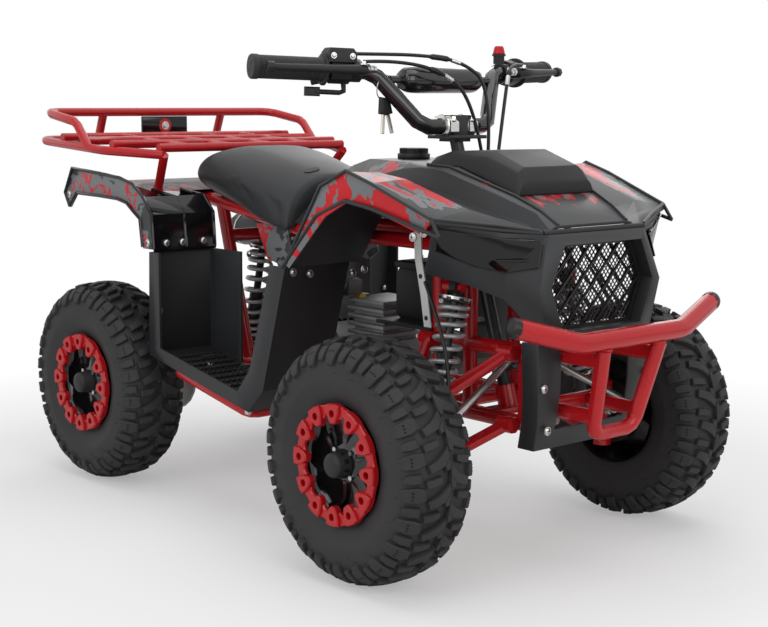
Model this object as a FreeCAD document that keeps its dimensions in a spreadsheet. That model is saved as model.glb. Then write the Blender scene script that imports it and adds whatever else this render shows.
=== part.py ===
import FreeCAD, Part

import math
import os

import Sketcher
from FreeCAD import Placement, Rotation, Vector

# Small quad bike. Millimetres, +X forward, +Y to the rider's left, +Z up.
# Pieces are drawn from the front axle and the floor, then set over the middle of the bike.

SIZES = {
    # Stance and wheels
    "wheelbase": 714.0,
    "front_track": 537.0,
    "rear_track": 452.0,
    "wheel_radius": 165.0,
    "running_gap": 0.05,
    "seat_gap": 0.3,
    "swing_gap": 2.5,
    "tube_sides": 8.0,
    "disc_sides": 20.0,
    # Tyre
    "tread_pitches": 22.0,
    "tyre_bead_radius": 79.0,
    "tyre_bead_half": 43.0,
    "tyre_wall_radius": 122.0,
    "tyre_half_width": 56.0,
    "tyre_shoulder_radius": 143.0,
    "tyre_crown_radius": 156.0,
    "tyre_crown_half": 42.0,
    "lug_length": 18.0,
    "lug_inner": 5.0,
    "lug_side_drop": 14.0,
    "lug_skew": 0.45,
    # Rim and its face ring
    "rim_wall": 4.0,
    "rim_lip_half": 47.0,
    "rim_face_set": 14.0,
    "rim_flats": 11.0,
    "hub_radius": 26.0,
    "hub_length": 50.0,
    "hub_cap_radius": 17.0,
    "ring_radius": 79.0,
    "ring_inner_radius": 56.0,
    "ring_blocks": 12.0,
    "ring_thickness": 6.0,
    "ring_block_rise": 5.0,
    "ring_block_width": 24.0,
    # Frame tubes
    "frame_tube_radius": 10.0,
    "frame_half_width": 75.0,
    "lower_rail_height": 203.0,
    "upper_rail_height": 300.0,
    "tank_rail_height": 432.0,
    "seat_rail_height": 476.0,
    "frame_front": 103.0,
    "shock_post_set": -3.0,
    "shock_set": 6.0,
    "second_post_set": 65.0,
    "tank_rail_rear": 380.0,
    "swing_pivot_set": 520.0,
    "seat_rail_rear": 690.0,
    "rear_stay_share": 0.86,
    # Front suspension
    "kingpin_half": 205.0,
    "kingpin_radius": 7.0,
    "kingpin_top": 205.0,
    "kingpin_bottom": 125.0,
    "arm_tube_radius": 8.0,
    "arm_boss_radius": 13.0,
    "arm_boss_height": 18.0,
    "arm_bush_radius": 10.5,
    "knuckle_radius": 13.0,
    "spindle_radius": 9.0,
    "drum_radius": 48.0,
    "drum_width": 16.0,
    "steer_arm_reach": 58.0,
    "steer_arm_height": 172.0,
    "tie_stud_radius": 4.0,
    "tie_rod_radius": 5.0,
    "tie_eye_radius": 8.0,
    "tie_play": 4.0,
    "shock_top_height": 381.0,
    "shock_top_half": 110.0,
    "shock_foot_half": 163.0,
    "shock_pin_radius": 6.0,
    "shock_eye_radius": 11.0,
    "shock_eye_width": 12.0,
    "damper_radius": 11.0,
    "damper_rod_radius": 6.0,
    "spring_radius": 19.0,
    "spring_wire": 6.5,
    "spring_coils": 7.0,
    "coil_steps": 7.0,
    "spring_length": 124.0,
    "rear_spring_length": 160.0,
    # Rear end
    "axle_radius": 12.5,
    "swing_half_width": 52.0,
    "swing_tube_radius": 13.0,
    "carrier_radius": 28.0,
    "carrier_width": 26.0,
    "sprocket_radius": 58.0,
    "sprocket_set": 95.0,
    "disc_radius": 66.0,
    "disc_thickness": 4.0,
    "rear_shock_top_height": 408.0,
    # Steering
    "column_foot_set": 4.0,
    "column_foot_height": 190.0,
    "column_top_set": 117.0,
    "column_top_height": 584.0,
    "column_radius": 9.5,
    "bearing_wall": 5.0,
    "bearing_height": 40.0,
    "pitman_height": 66.0,
    "pitman_reach": 50.0,
    "pitman_half": 22.0,
    "bar_radius": 11.0,
    "bar_clamp_half": 64.0,
    "bar_rise_set": 150.0,
    "bar_rise_half": 98.0,
    "bar_rise_height": 661.0,
    "grip_end_set": 217.0,
    "grip_end_half": 291.0,
    "grip_end_height": 677.0,
    "grip_radius": 15.5,
    "grip_length": 108.0,
    "pad_radius": 15.0,
    "pad_half": 74.0,
    "perch_set": 20.0,
    "perch_length": 17.0,
    "perch_radius": 15.0,
    "perch_arm": 8.0,
    "control_box_radius": 18.0,
    "control_box_length": 30.0,
    "lever_reach": 158.0,
    "lever_set": 36.0,
    "lever_radius": 4.0,
    "thumb_lever_length": 42.0,
    "cable_radius": 2.5,
    "cable_bend": 30.0,
    "cable_top_height": 696.0,
    "cable_foot_height": 568.0,
    "brake_cable_height": 392.0,
    # Bumper
    "bumper_tube_radius": 12.5,
    "bumper_end_set": 197.0,
    "bumper_end_half": 199.0,
    "bumper_end_height": 356.0,
    "bumper_bend_half": 102.0,
    "bumper_height": 329.0,
    "bumper_reach": 222.0,
    "hoop_tube_radius": 9.5,
    "hoop_half": 56.0,
    "hoop_foot_half": 40.0,
    "hoop_foot_height": 198.0,
    # Rear rack
    "rack_tube_radius": 7.0,
    "rack_front": 596.0,
    "rack_front_half": 186.0,
    "rack_height": 542.0,
    "rack_bend_set": 695.0,
    "rack_half": 239.0,
    "rack_rear": 900.0,
    "rack_rear_height": 559.0,
    "guard_height": 607.0,
    "guard_rear": 880.0,
    "guard_bend_set": 780.0,
    "guard_bend_height": 592.0,
    "guard_foot": 740.0,
    # Bodywork
    "skin": 4.0,
    "fender_half": 250.0,
    "fender_rear_set": 196.0,
    "fender_rear_height": 404.0,
    "fender_band": 46.0,
    "hood_height": 542.0,
    "nose_reach": 150.0,
        "mask_reach": 175.0,
    "mask_half": 235.0,
    "mask_bottom": 321.0,
    "chin_half": 110.0,
    "chin_foot_height": 174.0,
    "cowl_half": 76.0,
    "cowl_height": 566.0,
    "seat_half": 128.0,
    "seat_front": 376.0,
    "seat_rear": 620.0,
    "seat_top": 549.0,
    "seat_front_top": 509.0,
    "tail_rear": 801.0,
    "tail_height": 512.0,
    "tail_front": 530.0,
    "tail_foot_height": 398.0,
    "footwell_half": 250.0,
    "footwell_inner_half": 132.0,
    "footwell_rear": 545.0,
    "footwell_front": 286.0,
    "footwell_floor_rear": 230.0,
    "footwell_floor_front": 179.0,
    "footwell_lip": 27.0,
    "grille_edge": 26.0,
    "grille_half": 101.0,
    "grille_pitch": 21.0,
    "grille_bar": 3.0,
    "lens_proud": 3.0,
    "chin_depth": 30.0,
    "chin_opening_half": 68.0,
    "cowl_rear": 88.0,
    "cowl_front": 84.0,
    "fuel_cap_set": 205.0,
    "fuel_cap_radius": 24.0,
    "fuel_cap_height": 16.0,
    "rack_leg_half": 170.0,
    "rack_leg_foot": 640.0,
    "rack_post_half": 126.0,
    # Engine and exhaust
    "muffler_front": 640.0,
    "muffler_rear": 790.0,
    "muffler_half": 105.0,
    "muffler_height": 396.0,
    "muffler_radius": 28.0,
    "pipe_radius": 11.0,
    "engine_front": 225.0,
    "engine_rear": 440.0,
    "engine_half": 72.0,
    "engine_top": 330.0,
    "engine_case_top": 268.0,
    "engine_cylinder": 34.0,
    "engine_fins": 5.0,
    "engine_cover_radius": 42.0,
    "chain_sprocket_radius": 20.0,
    "chain_width": 8.0,
    "chain_height": 7.0,
    "step_tube_radius": 8.0,
    "step_half": 235.0,
    "step_root_half": 112.0,
    "step_rear": 495.0,
    "step_front": 302.0,
    "tail_panel_half": 48.0,
    "bore_sides": 12.0,
}


class Size:
    """A length worked out from the sheet: its number now, and the expression that binds to it."""

    def __init__(self, number, text):
        self.number = float(number)
        self.text = text

    def __float__(self):
        return self.number

    def __add__(self, other):
        return Size(self.number + float(other), f"({self.text} + {text_of(other)})")

    def __radd__(self, other):
        return Size(float(other) + self.number, f"({text_of(other)} + {self.text})")

    def __sub__(self, other):
        return Size(self.number - float(other), f"({self.text} - {text_of(other)})")

    def __rsub__(self, other):
        return Size(float(other) - self.number, f"({text_of(other)} - {self.text})")

    def __mul__(self, other):
        return Size(self.number * float(other), f"({self.text} * {text_of(other)})")

    __rmul__ = __mul__

    def __truediv__(self, other):
        return Size(self.number / float(other), f"({self.text} / {text_of(other)})")

    def __rtruediv__(self, other):
        return Size(float(other) / self.number, f"({text_of(other)} / {self.text})")

    def __neg__(self):
        return Size(-self.number, f"(-1 * {self.text})")


def text_of(value):
    return value.text if isinstance(value, Size) else repr(float(value))


class Sheet:
    """The driving sizes: one spreadsheet row each, read back as Size values."""

    def __init__(self, document, table):
        self.cells = document.addObject("Spreadsheet::Sheet", "sizes")
        for row, (name, number) in enumerate(table.items(), start=1):
            self.cells.set(f"A{row}", name)
            self.cells.set(f"B{row}", str(number))
            self.cells.setAlias(f"B{row}", name)
        document.recompute()

    def __getattr__(self, name):
        return Size(self.cells.get(name), f"sizes.{name}")


doc = FreeCAD.newDocument("quad_bike")
d = Sheet(doc, SIZES)
half = 0.5
corner_share = 1 / math.cos(math.pi / float(d.tube_sides))
half_side = 180 / float(d.tube_sides)
chord_angle = 45
pieces = []

# The bike's middle lies half way between the bumper's face and the rack's rear tube.
bumper_face = d.bumper_reach + d.bumper_tube_radius
rack_face = d.rack_rear + d.rack_tube_radius
front_axle = (rack_face - bumper_face) * half


def bind(thing, **values):
    for name, value in values.items():
        path = name.replace("__", ".")
        if isinstance(value, Size):
            thing.setExpression(path, value.text)
        else:
            thing.setExpression(path, text_of(value))


def vec(x, y, z):
    return Vector(float(x), float(y), float(z))


def publish(thing, name, x=0, y=0, z=0):
    """Name a finished piece and carry it from the front axle's frame to the bike's own."""
    thing.Label = name
    bind(thing, Placement__Base__x=front_axle + x)
    if isinstance(y, Size):
        bind(thing, Placement__Base__y=y)
    if isinstance(z, Size):
        bind(thing, Placement__Base__z=z)
    pieces.append(thing)
    return thing


def plane(body, role):
    return next(part for part in body.Origin.OriginFeatures if part.Role == role)


def outline(body, name, role, points, set_off=0, turn=None):
    """A closed sketch through points, each held to the origin by two bound distances."""
    sketch = body.newObject("Sketcher::SketchObject", name)
    sketch.AttachmentSupport = (plane(body, role), [""])
    sketch.MapMode = "FlatFace"
    if turn is not None:
        sketch.AttachmentOffset = Placement(Vector(), turn)
    if isinstance(set_off, Size):
        bind(sketch, AttachmentOffset__Base__z=set_off)
    spots = [Vector(float(x), float(y), 0) for x, y in points]
    count = len(spots)
    for index, spot in enumerate(spots):
        sketch.addGeometry(Part.LineSegment(spot, spots[(index + 1) % count]), False)
    for index in range(count):
        sketch.addConstraint(Sketcher.Constraint("Coincident", index, 2, (index + 1) % count, 1))
    for index, (x, y) in enumerate(points):
        for kind, value in (("DistanceX", x), ("DistanceY", y)):
            held = sketch.addConstraint(Sketcher.Constraint(kind, -1, 1, index, 1, float(value)))
            if isinstance(value, Size):
                sketch.setExpression(f"Constraints[{held}]", value.text)
    return sketch


def pad(body, sketch, length, middle=False, backwards=False):
    feature = body.newObject("PartDesign::Pad", sketch.Name + "_pad")
    feature.Profile = sketch
    feature.Midplane = middle
    feature.Reversed = backwards
    bind(feature, Length=length)
    return feature


def pocket(body, sketch, length, middle=True, backwards=False):
    feature = body.newObject("PartDesign::Pocket", sketch.Name + "_pocket")
    feature.Profile = sketch
    feature.Midplane = middle
    feature.Reversed = backwards
    bind(feature, Length=length)
    return feature


def repeat(body, features, role, count):
    """Repeat features evenly about one of the body's axes."""
    pattern = body.newObject("PartDesign::PolarPattern", body.Name + "_pattern")
    pattern.Originals = features
    pattern.Axis = (plane(body, role), [""])
    pattern.Angle = 360
    bind(pattern, Occurrences=count)
    body.Tip = pattern
    return pattern


def new_body(name):
    return doc.addObject("PartDesign::Body", name)


def block(name, low, high):
    """A box between two corners."""
    box = doc.addObject("Part::Box", name)
    bind(box, Length=high[0] - low[0], Width=high[1] - low[1], Height=high[2] - low[2])
    bind(box, Placement__Base__x=low[0], Placement__Base__y=low[1], Placement__Base__z=low[2])
    return box


def place_along(foot, top):
    """Stands a piece's own Z along a line, with a flat of its outline towards each axis."""
    return Placement(foot, Rotation(Vector(0, 0, 1), top - foot) * Rotation(Vector(0, 0, 1), half_side))


def rod(name, start, end, radius):
    """A round bar from one point to another."""
    foot, top = vec(*start), vec(*end)
    bar = doc.addObject("Part::Cylinder", name)
    bar.Height = (top - foot).Length
    bar.Placement = Placement(foot, Rotation(Vector(0, 0, 1), top - foot))
    bind(bar, Radius=radius)
    return bar


def flat_bar(name, start, end, radius, sides=None):
    """A bar of flats from one point to another, its radius taken to the middle of a flat."""
    foot, top = vec(*start), vec(*end)
    count = int(float(d.tube_sides if sides is None else sides))
    bar = doc.addObject("Part::Prism", name)
    bar.Polygon = count
    bar.Height = (top - foot).Length
    bar.Placement = Placement(foot, Rotation(Vector(0, 0, 1), top - foot) * Rotation(Vector(0, 0, 1), 180 / count))
    bind(bar, Circumradius=radius * (1 / math.cos(math.pi / count)))
    return bar


def route(points, bend):
    """The corners of a bent tube's centre line, each bend taken in short chords."""
    spots = [vec(*point) for point in points]
    line = [spots[0]]
    for before, corner, after in zip(spots, spots[1:], spots[2:]):
        back = (before - corner).normalize()
        ahead = (after - corner).normalize()
        angle = back.getAngle(ahead)
        reach = float(bend) / math.tan(angle * half)
        first = corner + back * reach
        centre = corner + (back + ahead).normalize() * (float(bend) / math.sin(angle * half))
        turn = 180 - math.degrees(angle)
        axis = (first - centre).cross(corner + ahead * reach - centre)
        chords = max(1, round(turn / chord_angle))
        for index in range(chords + 1):
            line.append(centre + Rotation(axis, turn * index / chords).multVec(first - centre))
    line.append(spots[-1])
    return line


def tube(name, points, radius, bend):
    """A bent tube: a bound outline of flats swept along its route, mitred at each chord."""
    line = route(points, bend)
    spine = doc.addObject("Part::Feature", name + "_route")
    spine.Shape = Part.makePolygon(line)
    ring = doc.addObject("Part::RegularPolygon", name + "_ring")
    ring.Polygon = int(float(d.tube_sides))
    ring.Placement = place_along(line[0], line[1])
    bind(ring, Circumradius=radius * corner_share)
    sweep = doc.addObject("Part::Sweep", name)
    sweep.Sections = [ring]
    sweep.Spine = (spine, [f"Edge{index + 1}" for index in range(len(line) - 1)])
    sweep.Solid = True
    sweep.Frenet = False
    sweep.Transition = "Right corner"
    return sweep


def fuse(name, shapes):
    joined = doc.addObject("Part::MultiFuse", name)
    joined.Shapes = shapes
    joined.Refine = True
    return joined


def gather(name, shapes):
    """Like pieces that don't touch, kept as one piece of several solids."""
    group = doc.addObject("Part::Compound", name)
    group.Links = shapes
    return group


def cut(name, base, tool):
    result = doc.addObject("Part::Cut", name)
    result.Base = base
    result.Tool = tool
    result.Refine = True
    return result


def mirror(name, source):
    """The same piece on the other side of the bike's middle plane."""
    copy = doc.addObject("Part::Mirroring", name)
    copy.Source = source
    copy.Normal = Vector(0, 1, 0)
    return copy


def sleeve(name, start, end, radius, bore):
    """A sleeve of flats round the line between two points."""
    outside = flat_bar(name + "_outside", start, end, radius)
    return cut(name, outside, flat_bar(name + "_bore", start, end, bore))


# Wheels
# The carcass turns in flats, one to each pitch of the tread, and carries two skewed lugs on each.

def faceted_ring(section, flats):
    """A solid ring about Y with flat sides, from a closed section of (y, radius) corners."""
    first = half * 360 / float(d.tread_pitches)
    corners = []
    for index in range(flats):
        turn = Rotation(Vector(0, 1, 0), first + 360 / flats * index)
        corners.append([turn.multVec(vec(0, y, radius)) for y, radius in section])
    faces = []
    for here, there in zip(corners, corners[1:] + corners[:1]):
        for index in range(len(section)):
            after = (index + 1) % len(section)
            loop = [here[index], here[after], there[after], there[index], here[index]]
            faces.append(Part.Face(Part.makePolygon(loop)))
    return Part.makeSolid(Part.makeShell(faces))


def tyre_blank():
    right_wall = [
        (-d.tyre_bead_half, d.tyre_bead_radius),
        (-d.tyre_half_width, d.tyre_wall_radius),
        (-d.tyre_crown_half, d.tyre_crown_radius),
    ]
    wall = right_wall + [(-y, radius) for y, radius in reversed(right_wall)]
    carcass = doc.addObject("Part::Feature", "tyre_carcass")
    carcass.Shape = faceted_ring(wall, int(float(d.tread_pitches)))
    body = new_body("tyre")
    body.BaseFeature = carcass
    lug = [
        (d.lug_inner, d.tyre_shoulder_radius),
        (d.lug_inner, d.wheel_radius),
        (d.tyre_crown_half, d.wheel_radius),
        (d.tyre_half_width, d.tyre_shoulder_radius),
        (d.tyre_crown_half, d.tyre_shoulder_radius - d.lug_side_drop),
    ]
    lugs = []
    for name, side, turn in (("lug_left", 1, 0), ("lug_right", -1, half * 360 / float(d.tread_pitches))):
        section = [(y * side, z) for y, z in lug]
        sketch = outline(body, name, "YZ_Plane", section, turn=Rotation(Vector(1, 0, 0), turn))
        lug_pad = pad(body, sketch, d.lug_length, middle=True)
        lug_pad.UseCustomVector = True
        lug_pad.AlongSketchNormal = True
        lug_pad.Direction = Rotation(Vector(0, 1, 0), turn).multVec(vec(1, side * d.lug_skew, 0))
        lugs.append(lug_pad)
    repeat(body, lugs, "Y_Axis", d.tread_pitches)
    return body


def rim_blank(name, bore):
    """A dished steel wheel, outboard towards -Y: barrel, cone and hub in flats, round a bore of flats."""
    face = -d.rim_lip_half + d.rim_face_set
    inner = d.tyre_bead_radius - d.rim_wall
    core = d.hub_radius * half * half
    section = [
        (-d.rim_lip_half, d.tyre_bead_radius),
        (-d.rim_lip_half, inner),
        (face, inner),
        (face - d.rim_wall, d.hub_radius),
        (face - d.rim_wall * 2, core),
        (face + d.hub_length, core),
        (face + d.hub_length, d.hub_radius - d.rim_wall),
        (face + d.rim_wall, d.hub_radius),
        (face + d.rim_wall * 2, inner),
        (d.rim_lip_half, inner),
        (d.rim_lip_half, d.tyre_bead_radius),
    ]
    dish = doc.addObject("Part::Feature", name + "_dish")
    dish.Shape = faceted_ring(section, int(float(d.rim_flats)))
    outer_end = (0, face - d.rim_wall * 4, 0)
    inner_end = (0, face + d.hub_length + d.rim_wall, 0)
    return cut(name, dish, flat_bar(name + "_hole", outer_end, inner_end, bore, d.bore_sides))


def ring_blank():
    """The red face ring: a flat ring with a raised block over each of its bolts."""
    body = new_body("ring")
    face = -d.rim_lip_half
    section = [
        (face, d.ring_inner_radius),
        (face, d.ring_radius),
        (face - d.ring_thickness, d.ring_radius),
        (face - d.ring_thickness, d.ring_inner_radius),
    ]
    carrier = doc.addObject("Part::Feature", "ring_flat")
    carrier.Shape = faceted_ring(section, int(float(d.ring_blocks)))
    body.BaseFeature = carrier
    wide = d.ring_block_width * half
    narrow = wide * ring_taper_share
    corners = [
        (-wide, d.ring_radius),
        (wide, d.ring_radius),
        (narrow, d.ring_inner_radius - d.ring_block_rise),
        (-narrow, d.ring_inner_radius - d.ring_block_rise),
    ]
    sketch = outline(body, "ring_block", "XZ_Plane", corners, set_off=-face)
    raised = pad(body, sketch, d.ring_thickness + d.ring_block_rise)
    repeat(body, [raised], "Y_Axis", d.ring_blocks)
    return body


ring_taper_share = 0.6


def stand_in_place(name, blank, x, y, turned):
    """Another of the same piece, set on a wheel's centre."""
    body = new_body(name)
    same = doc.addObject("PartDesign::FeatureBase", name + "_same")
    same.BaseFeature = blank
    body.Group = [same]
    body.Tip = same
    if turned:
        body.Placement = Placement(Vector(), Rotation(Vector(0, 0, 1), 180))
    return body, x, y


def wheels():
    tyre = tyre_blank()
    front_rim = rim_blank("front_rim", d.spindle_radius + d.running_gap)
    rear_rim = rim_blank("rear_rim", d.axle_radius)
    ring = ring_blank()
    front_half = d.front_track * half
    rear_half = d.rear_track * half
    for side, sign in (("right", -1), ("left", 1)):
        places = (("front", 0, front_half * sign, front_rim), ("rear", -d.wheelbase, rear_half * sign, rear_rim))
        for axle, x, y, rim in places:
            for kind, blank in (("tyre", tyre), ("rim", rim), ("ring", ring)):
                name = f"{kind}_{axle}_{side}"
                body, x, y = stand_in_place(name, blank, x, y, sign > 0)
                if axle == "front" or kind == "tyre":
                    publish(body, name, x, y, d.wheel_radius)
                else:
                    bind(body, Placement__Base__x=x, Placement__Base__y=y, Placement__Base__z=d.wheel_radius)
                    shared.setdefault(kind, []).append(body)
    for kind, bodies in shared.items():
        publish(gather(f"{kind}s_rear", bodies), f"{kind}s_rear")


shared = {}


# Frame
# Two side ladders of bent tube joined by cross tubes, with the steering bearings between them.

def steering_point(share):
    """A point on the steering axis, as a share of the way from its foot to the bar clamp."""
    x = d.column_foot_set + (-d.column_top_set - d.column_foot_set) * share
    z = d.column_foot_height + (d.column_top_height - d.column_foot_height) * share
    return (x, 0, z)


def share_at(height):
    """How far up the steering axis a height lies, as a share."""
    return float(height - d.column_foot_height) / float(d.column_top_height - d.column_foot_height)


def seat_rail_height(x):
    """The seat rail's middle at a place along the bike."""
    slope = (d.seat_rail_height - d.tank_rail_height) / (d.seat_rail_rear - d.tank_rail_rear)
    return d.tank_rail_height + (-d.tank_rail_rear - x) * slope


def rear_stay_point(share):
    """A place on the rear stays, from the swingarm's pivot to the seat rail."""
    top_x = -d.seat_rail_rear * rear_stay_share
    x = -d.swing_pivot_set + (top_x + d.swing_pivot_set) * share
    return x, d.lower_rail_height + (seat_rail_height(top_x) - d.lower_rail_height) * share


rear_stay_share = 0.86
rear_shock_share = 0.79


def front_cross_height():
    return d.lower_rail_height + d.frame_tube_radius * 2


def frame():
    front = d.frame_front
    post = d.shock_post_set
    back_post = -d.second_post_set
    width = d.frame_half_width
    lower, upper, tank = d.lower_rail_height, d.upper_rail_height, d.tank_rail_height
    pivot = -d.swing_pivot_set
    seat_end = (-d.seat_rail_rear, d.seat_rail_height)
    stay_top = rear_stay_point(1)
    tubes = []
    for side, sign in (("right", -1), ("left", 1)):
        y = width * sign
        runs = {
            "lower": ((front, y, lower), (pivot, y, lower)),
            "upper": ((front, y, upper), (back_post, y, upper)),
            "nose": ((front, y, lower), (front, y, upper)),
            "post": ((post, y, lower), (post, y, d.shock_top_height + d.frame_tube_radius)),
            "tank_post": ((back_post, y, lower), (back_post, y, tank)),
            "tank": ((back_post, y, tank), (-d.tank_rail_rear, y, tank)),
            "seat": ((-d.tank_rail_rear, y, tank), (seat_end[0], y, seat_end[1])),
            "rear": ((pivot, y, lower), (stay_top[0], y, stay_top[1])),
        }
        for kind, (start, end) in runs.items():
            tubes.append(flat_bar(f"{kind}_tube_{side}", start, end, d.frame_tube_radius))
        ear = d.shock_set - d.shock_eye_width - d.shock_pin_radius * 2
        pin_y, pin_z = d.shock_top_half * sign, d.shock_top_height
        tubes.append(flat_bar(f"shock_ear_{side}", (post, y, pin_z), (ear, pin_y, pin_z), d.shock_pin_radius))
        pin_end = d.shock_set + d.shock_eye_width
        tubes.append(flat_bar(f"shock_pin_{side}", (ear, pin_y, pin_z), (pin_end, pin_y, pin_z), d.shock_pin_radius))
    shock_x, shock_z = rear_stay_point(rear_shock_share)
    crossings = {
        "front_lower": (front, front_cross_height()),
        "front_upper": (front, upper),
        "back_lower": (back_post, lower),
        "pivot": (pivot, lower),
        "rear_shock": (shock_x, shock_z),
        "seat_rear": seat_end,
    }
    for name, (x, z) in crossings.items():
        tubes.append(flat_bar(f"{name}_cross", (x, -width, z), (x, width, z), d.frame_tube_radius))
    for side, sign in (("right", -1), ("left", 1)):
        tubes.append(tube(f"step_bar_{side}", step_points(sign), d.step_tube_radius, d.step_tube_radius * 2))
    return fuse("frame_tubes", tubes)


def step_points(sign):
    """The step bar's corners: out from the lower rail, along under the footwell and back in."""
    points = []
    for x in (-d.step_rear, -d.step_front):
        z = footwell_floor_height(x) - d.seat_gap - d.step_tube_radius * corner_share
        rail = (x, d.frame_half_width * sign, d.lower_rail_height)
        side = [rail, (x, d.step_root_half * sign, z), (x, d.step_half * sign, z)]
        points += side[::-1] if points else side
    return points


def steering_bearings():
    """The bolted-in socket at the column's foot and the upper bearing in its plate."""
    width = d.frame_half_width
    bore = d.column_radius + d.running_gap
    outside = bore + d.bearing_wall
    foot_share = float(d.bearing_height) / float(d.column_top_height - d.column_foot_height)
    plate_share = share_at(d.tank_rail_height)
    socket = flat_bar("socket_outside", steering_point(0), steering_point(foot_share), outside)
    collar = flat_bar("collar_outside", steering_point(plate_share - foot_share * half),
                      steering_point(plate_share + foot_share * half), outside)
    plates = []
    for name, share, top in (("socket", 0, d.lower_rail_height), ("collar", plate_share, d.tank_rail_height)):
        x = steering_point(share)[0]
        low = (x - outside, -width, top - d.bearing_wall)
        plates.append(block(f"{name}_plate", low, (x + outside, width, top)))
    holes = flat_bar("column_hole", steering_point(-foot_share), steering_point(1), bore, d.bore_sides)
    return fuse("bearing_parts", [socket, collar] + plates), holes


def whole_frame():
    bearings, holes = steering_bearings()
    publish(cut("frame", fuse("frame_solid", [frame(), bearings]), holes), "frame")


# Front suspension
# Each side has two V-shaped arms, a coil spring over a damper and an upright that turns on a kingpin.

def arm_pivot_half():
    """How far out the arms' bushes lie, just clear of the frame's rails."""
    return d.frame_half_width + d.frame_tube_radius + d.seat_gap + d.arm_bush_radius


def lower_arm_height(half_width):
    """The lower arm's middle height at a place across the bike."""
    slope = (d.lower_rail_height - d.kingpin_bottom) / (d.kingpin_half - arm_pivot_half())
    return d.kingpin_bottom + (d.kingpin_half - half_width) * slope


def arm_side(sign):
    solids = []
    rise = d.arm_boss_height * half
    y = d.kingpin_half * sign
    low_face = d.kingpin_bottom + rise
    high_face = d.kingpin_top - rise
    for level, pivot_z, ball_z in (
        ("upper", d.upper_rail_height, d.kingpin_top),
        ("lower", d.lower_rail_height, d.kingpin_bottom),
    ):
        ball = (0, y, ball_z)
        pivot_y = arm_pivot_half() * sign
        front_x = d.frame_front - d.arm_boss_radius
        shapes = []
        for x_name, x in (("front", front_x), ("rear", -d.second_post_set)):
            name = f"arm_{level}_{x_name}"
            shapes.append(flat_bar(name, (x, pivot_y, pivot_z), ball, d.arm_tube_radius))
            low = (x - d.arm_boss_radius, pivot_y, pivot_z)
            high = (x + d.arm_boss_radius, pivot_y, pivot_z)
            shapes.append(flat_bar(name + "_bush", low, high, d.arm_bush_radius))
        shapes.append(flat_bar(f"arm_{level}_boss", (0, y, ball_z - rise), (0, y, ball_z + rise), d.arm_boss_radius))
        if level == "lower":
            foot_y, foot_z = d.shock_foot_half * sign, lower_arm_height(d.shock_foot_half)
            out_share = (d.shock_foot_half - arm_pivot_half()) / (d.kingpin_half - arm_pivot_half())
            front_end = front_x - front_x * out_share
            rear_end = -d.second_post_set + d.second_post_set * out_share
            shapes.append(flat_bar("shock_seat_bar", (rear_end, foot_y, foot_z), (front_end, foot_y, foot_z),
                                   d.shock_pin_radius))
        bore = flat_bar(f"arm_{level}_bore", (0, y, ball_z - rise * 2), (0, y, ball_z + rise * 2),
                        d.kingpin_radius + d.running_gap, d.bore_sides)
        swing = flat_bar(f"arm_{level}_clearance", (0, y, low_face), (0, y, high_face),
                         d.arm_boss_radius + d.swing_gap, d.bore_sides)
        solids.append(cut(f"arm_{level}", fuse(f"arm_{level}_parts", shapes), fuse(f"arm_{level}_holes", [bore, swing])))
    return solids


def a_arms():
    right = arm_side(-1)
    left = [mirror(piece.Name + "_left", piece) for piece in right]
    publish(gather("a_arms", right + left), "a_arms")


def wheel_hub_end():
    """How far out a front wheel's hub reaches from the middle of the bike."""
    return d.front_track * half + d.rim_lip_half - d.rim_face_set + d.rim_wall * 2


def knuckle(name, sign):
    y = d.kingpin_half * sign
    z = d.wheel_radius
    rise = d.arm_boss_height * half
    low = d.kingpin_bottom + rise + d.seat_gap
    high = d.kingpin_top - rise - d.seat_gap
    drum_inner = d.kingpin_half + d.arm_boss_radius * corner_share + d.swing_gap
    drum_outer = drum_inner + d.drum_width
    nut = wheel_hub_end() + d.seat_gap
    nut_end = nut + d.rim_wall * 2
    reach = d.steer_arm_reach
    arm_z = d.steer_arm_height
    shapes = [
        rod(name + "_pin", (0, y, d.kingpin_bottom - rise), (0, y, d.kingpin_top + rise), d.kingpin_radius),
        flat_bar(name + "_post", (0, y, low), (0, y, high), d.knuckle_radius),
        rod(name + "_spindle", (0, y, z), (0, nut_end * sign, z), d.spindle_radius),
        flat_bar(name + "_drum", (0, drum_inner * sign, z), (0, drum_outer * sign, z), d.drum_radius, d.disc_sides),
        flat_bar(name + "_nut", (0, nut * sign, z), (0, nut_end * sign, z), d.hub_cap_radius),
        flat_bar(name + "_arm", (0, y, arm_z), (reach, y, arm_z), d.tie_rod_radius),
        flat_bar(name + "_stud", (reach, y, arm_z - d.tie_rod_radius), (reach, y, tie_end_height() + d.tie_rod_radius),
                 d.tie_stud_radius),
    ]
    publish(fuse(name, shapes), name)


def tie_end_height():
    """The tie rod's outer eye stands clear of the steering arm, which swings under it."""
    return d.steer_arm_height + d.tie_rod_radius * 2 + d.tie_play


def tie_eye_rise():
    """The tie rod's inner eye lies on the column's arm, which is flat-sided and so higher at its corners."""
    return d.tie_rod_radius * (1 + corner_share) + d.tie_play * half


def steering_axis():
    return (vec(*steering_point(1)) - vec(*steering_point(0))).normalize()


def pitman_point(sign, lift=0):
    """Where a tie rod's inner eye sits on the column's arm."""
    axis = steering_axis()
    foot = vec(*steering_point(0)) + axis * (float(d.pitman_height) + float(lift))
    forward = Vector(axis.z, 0, -axis.x)
    spot = foot + forward * float(d.pitman_reach)
    return (spot.x, float(d.pitman_half) * sign, spot.z)


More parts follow.
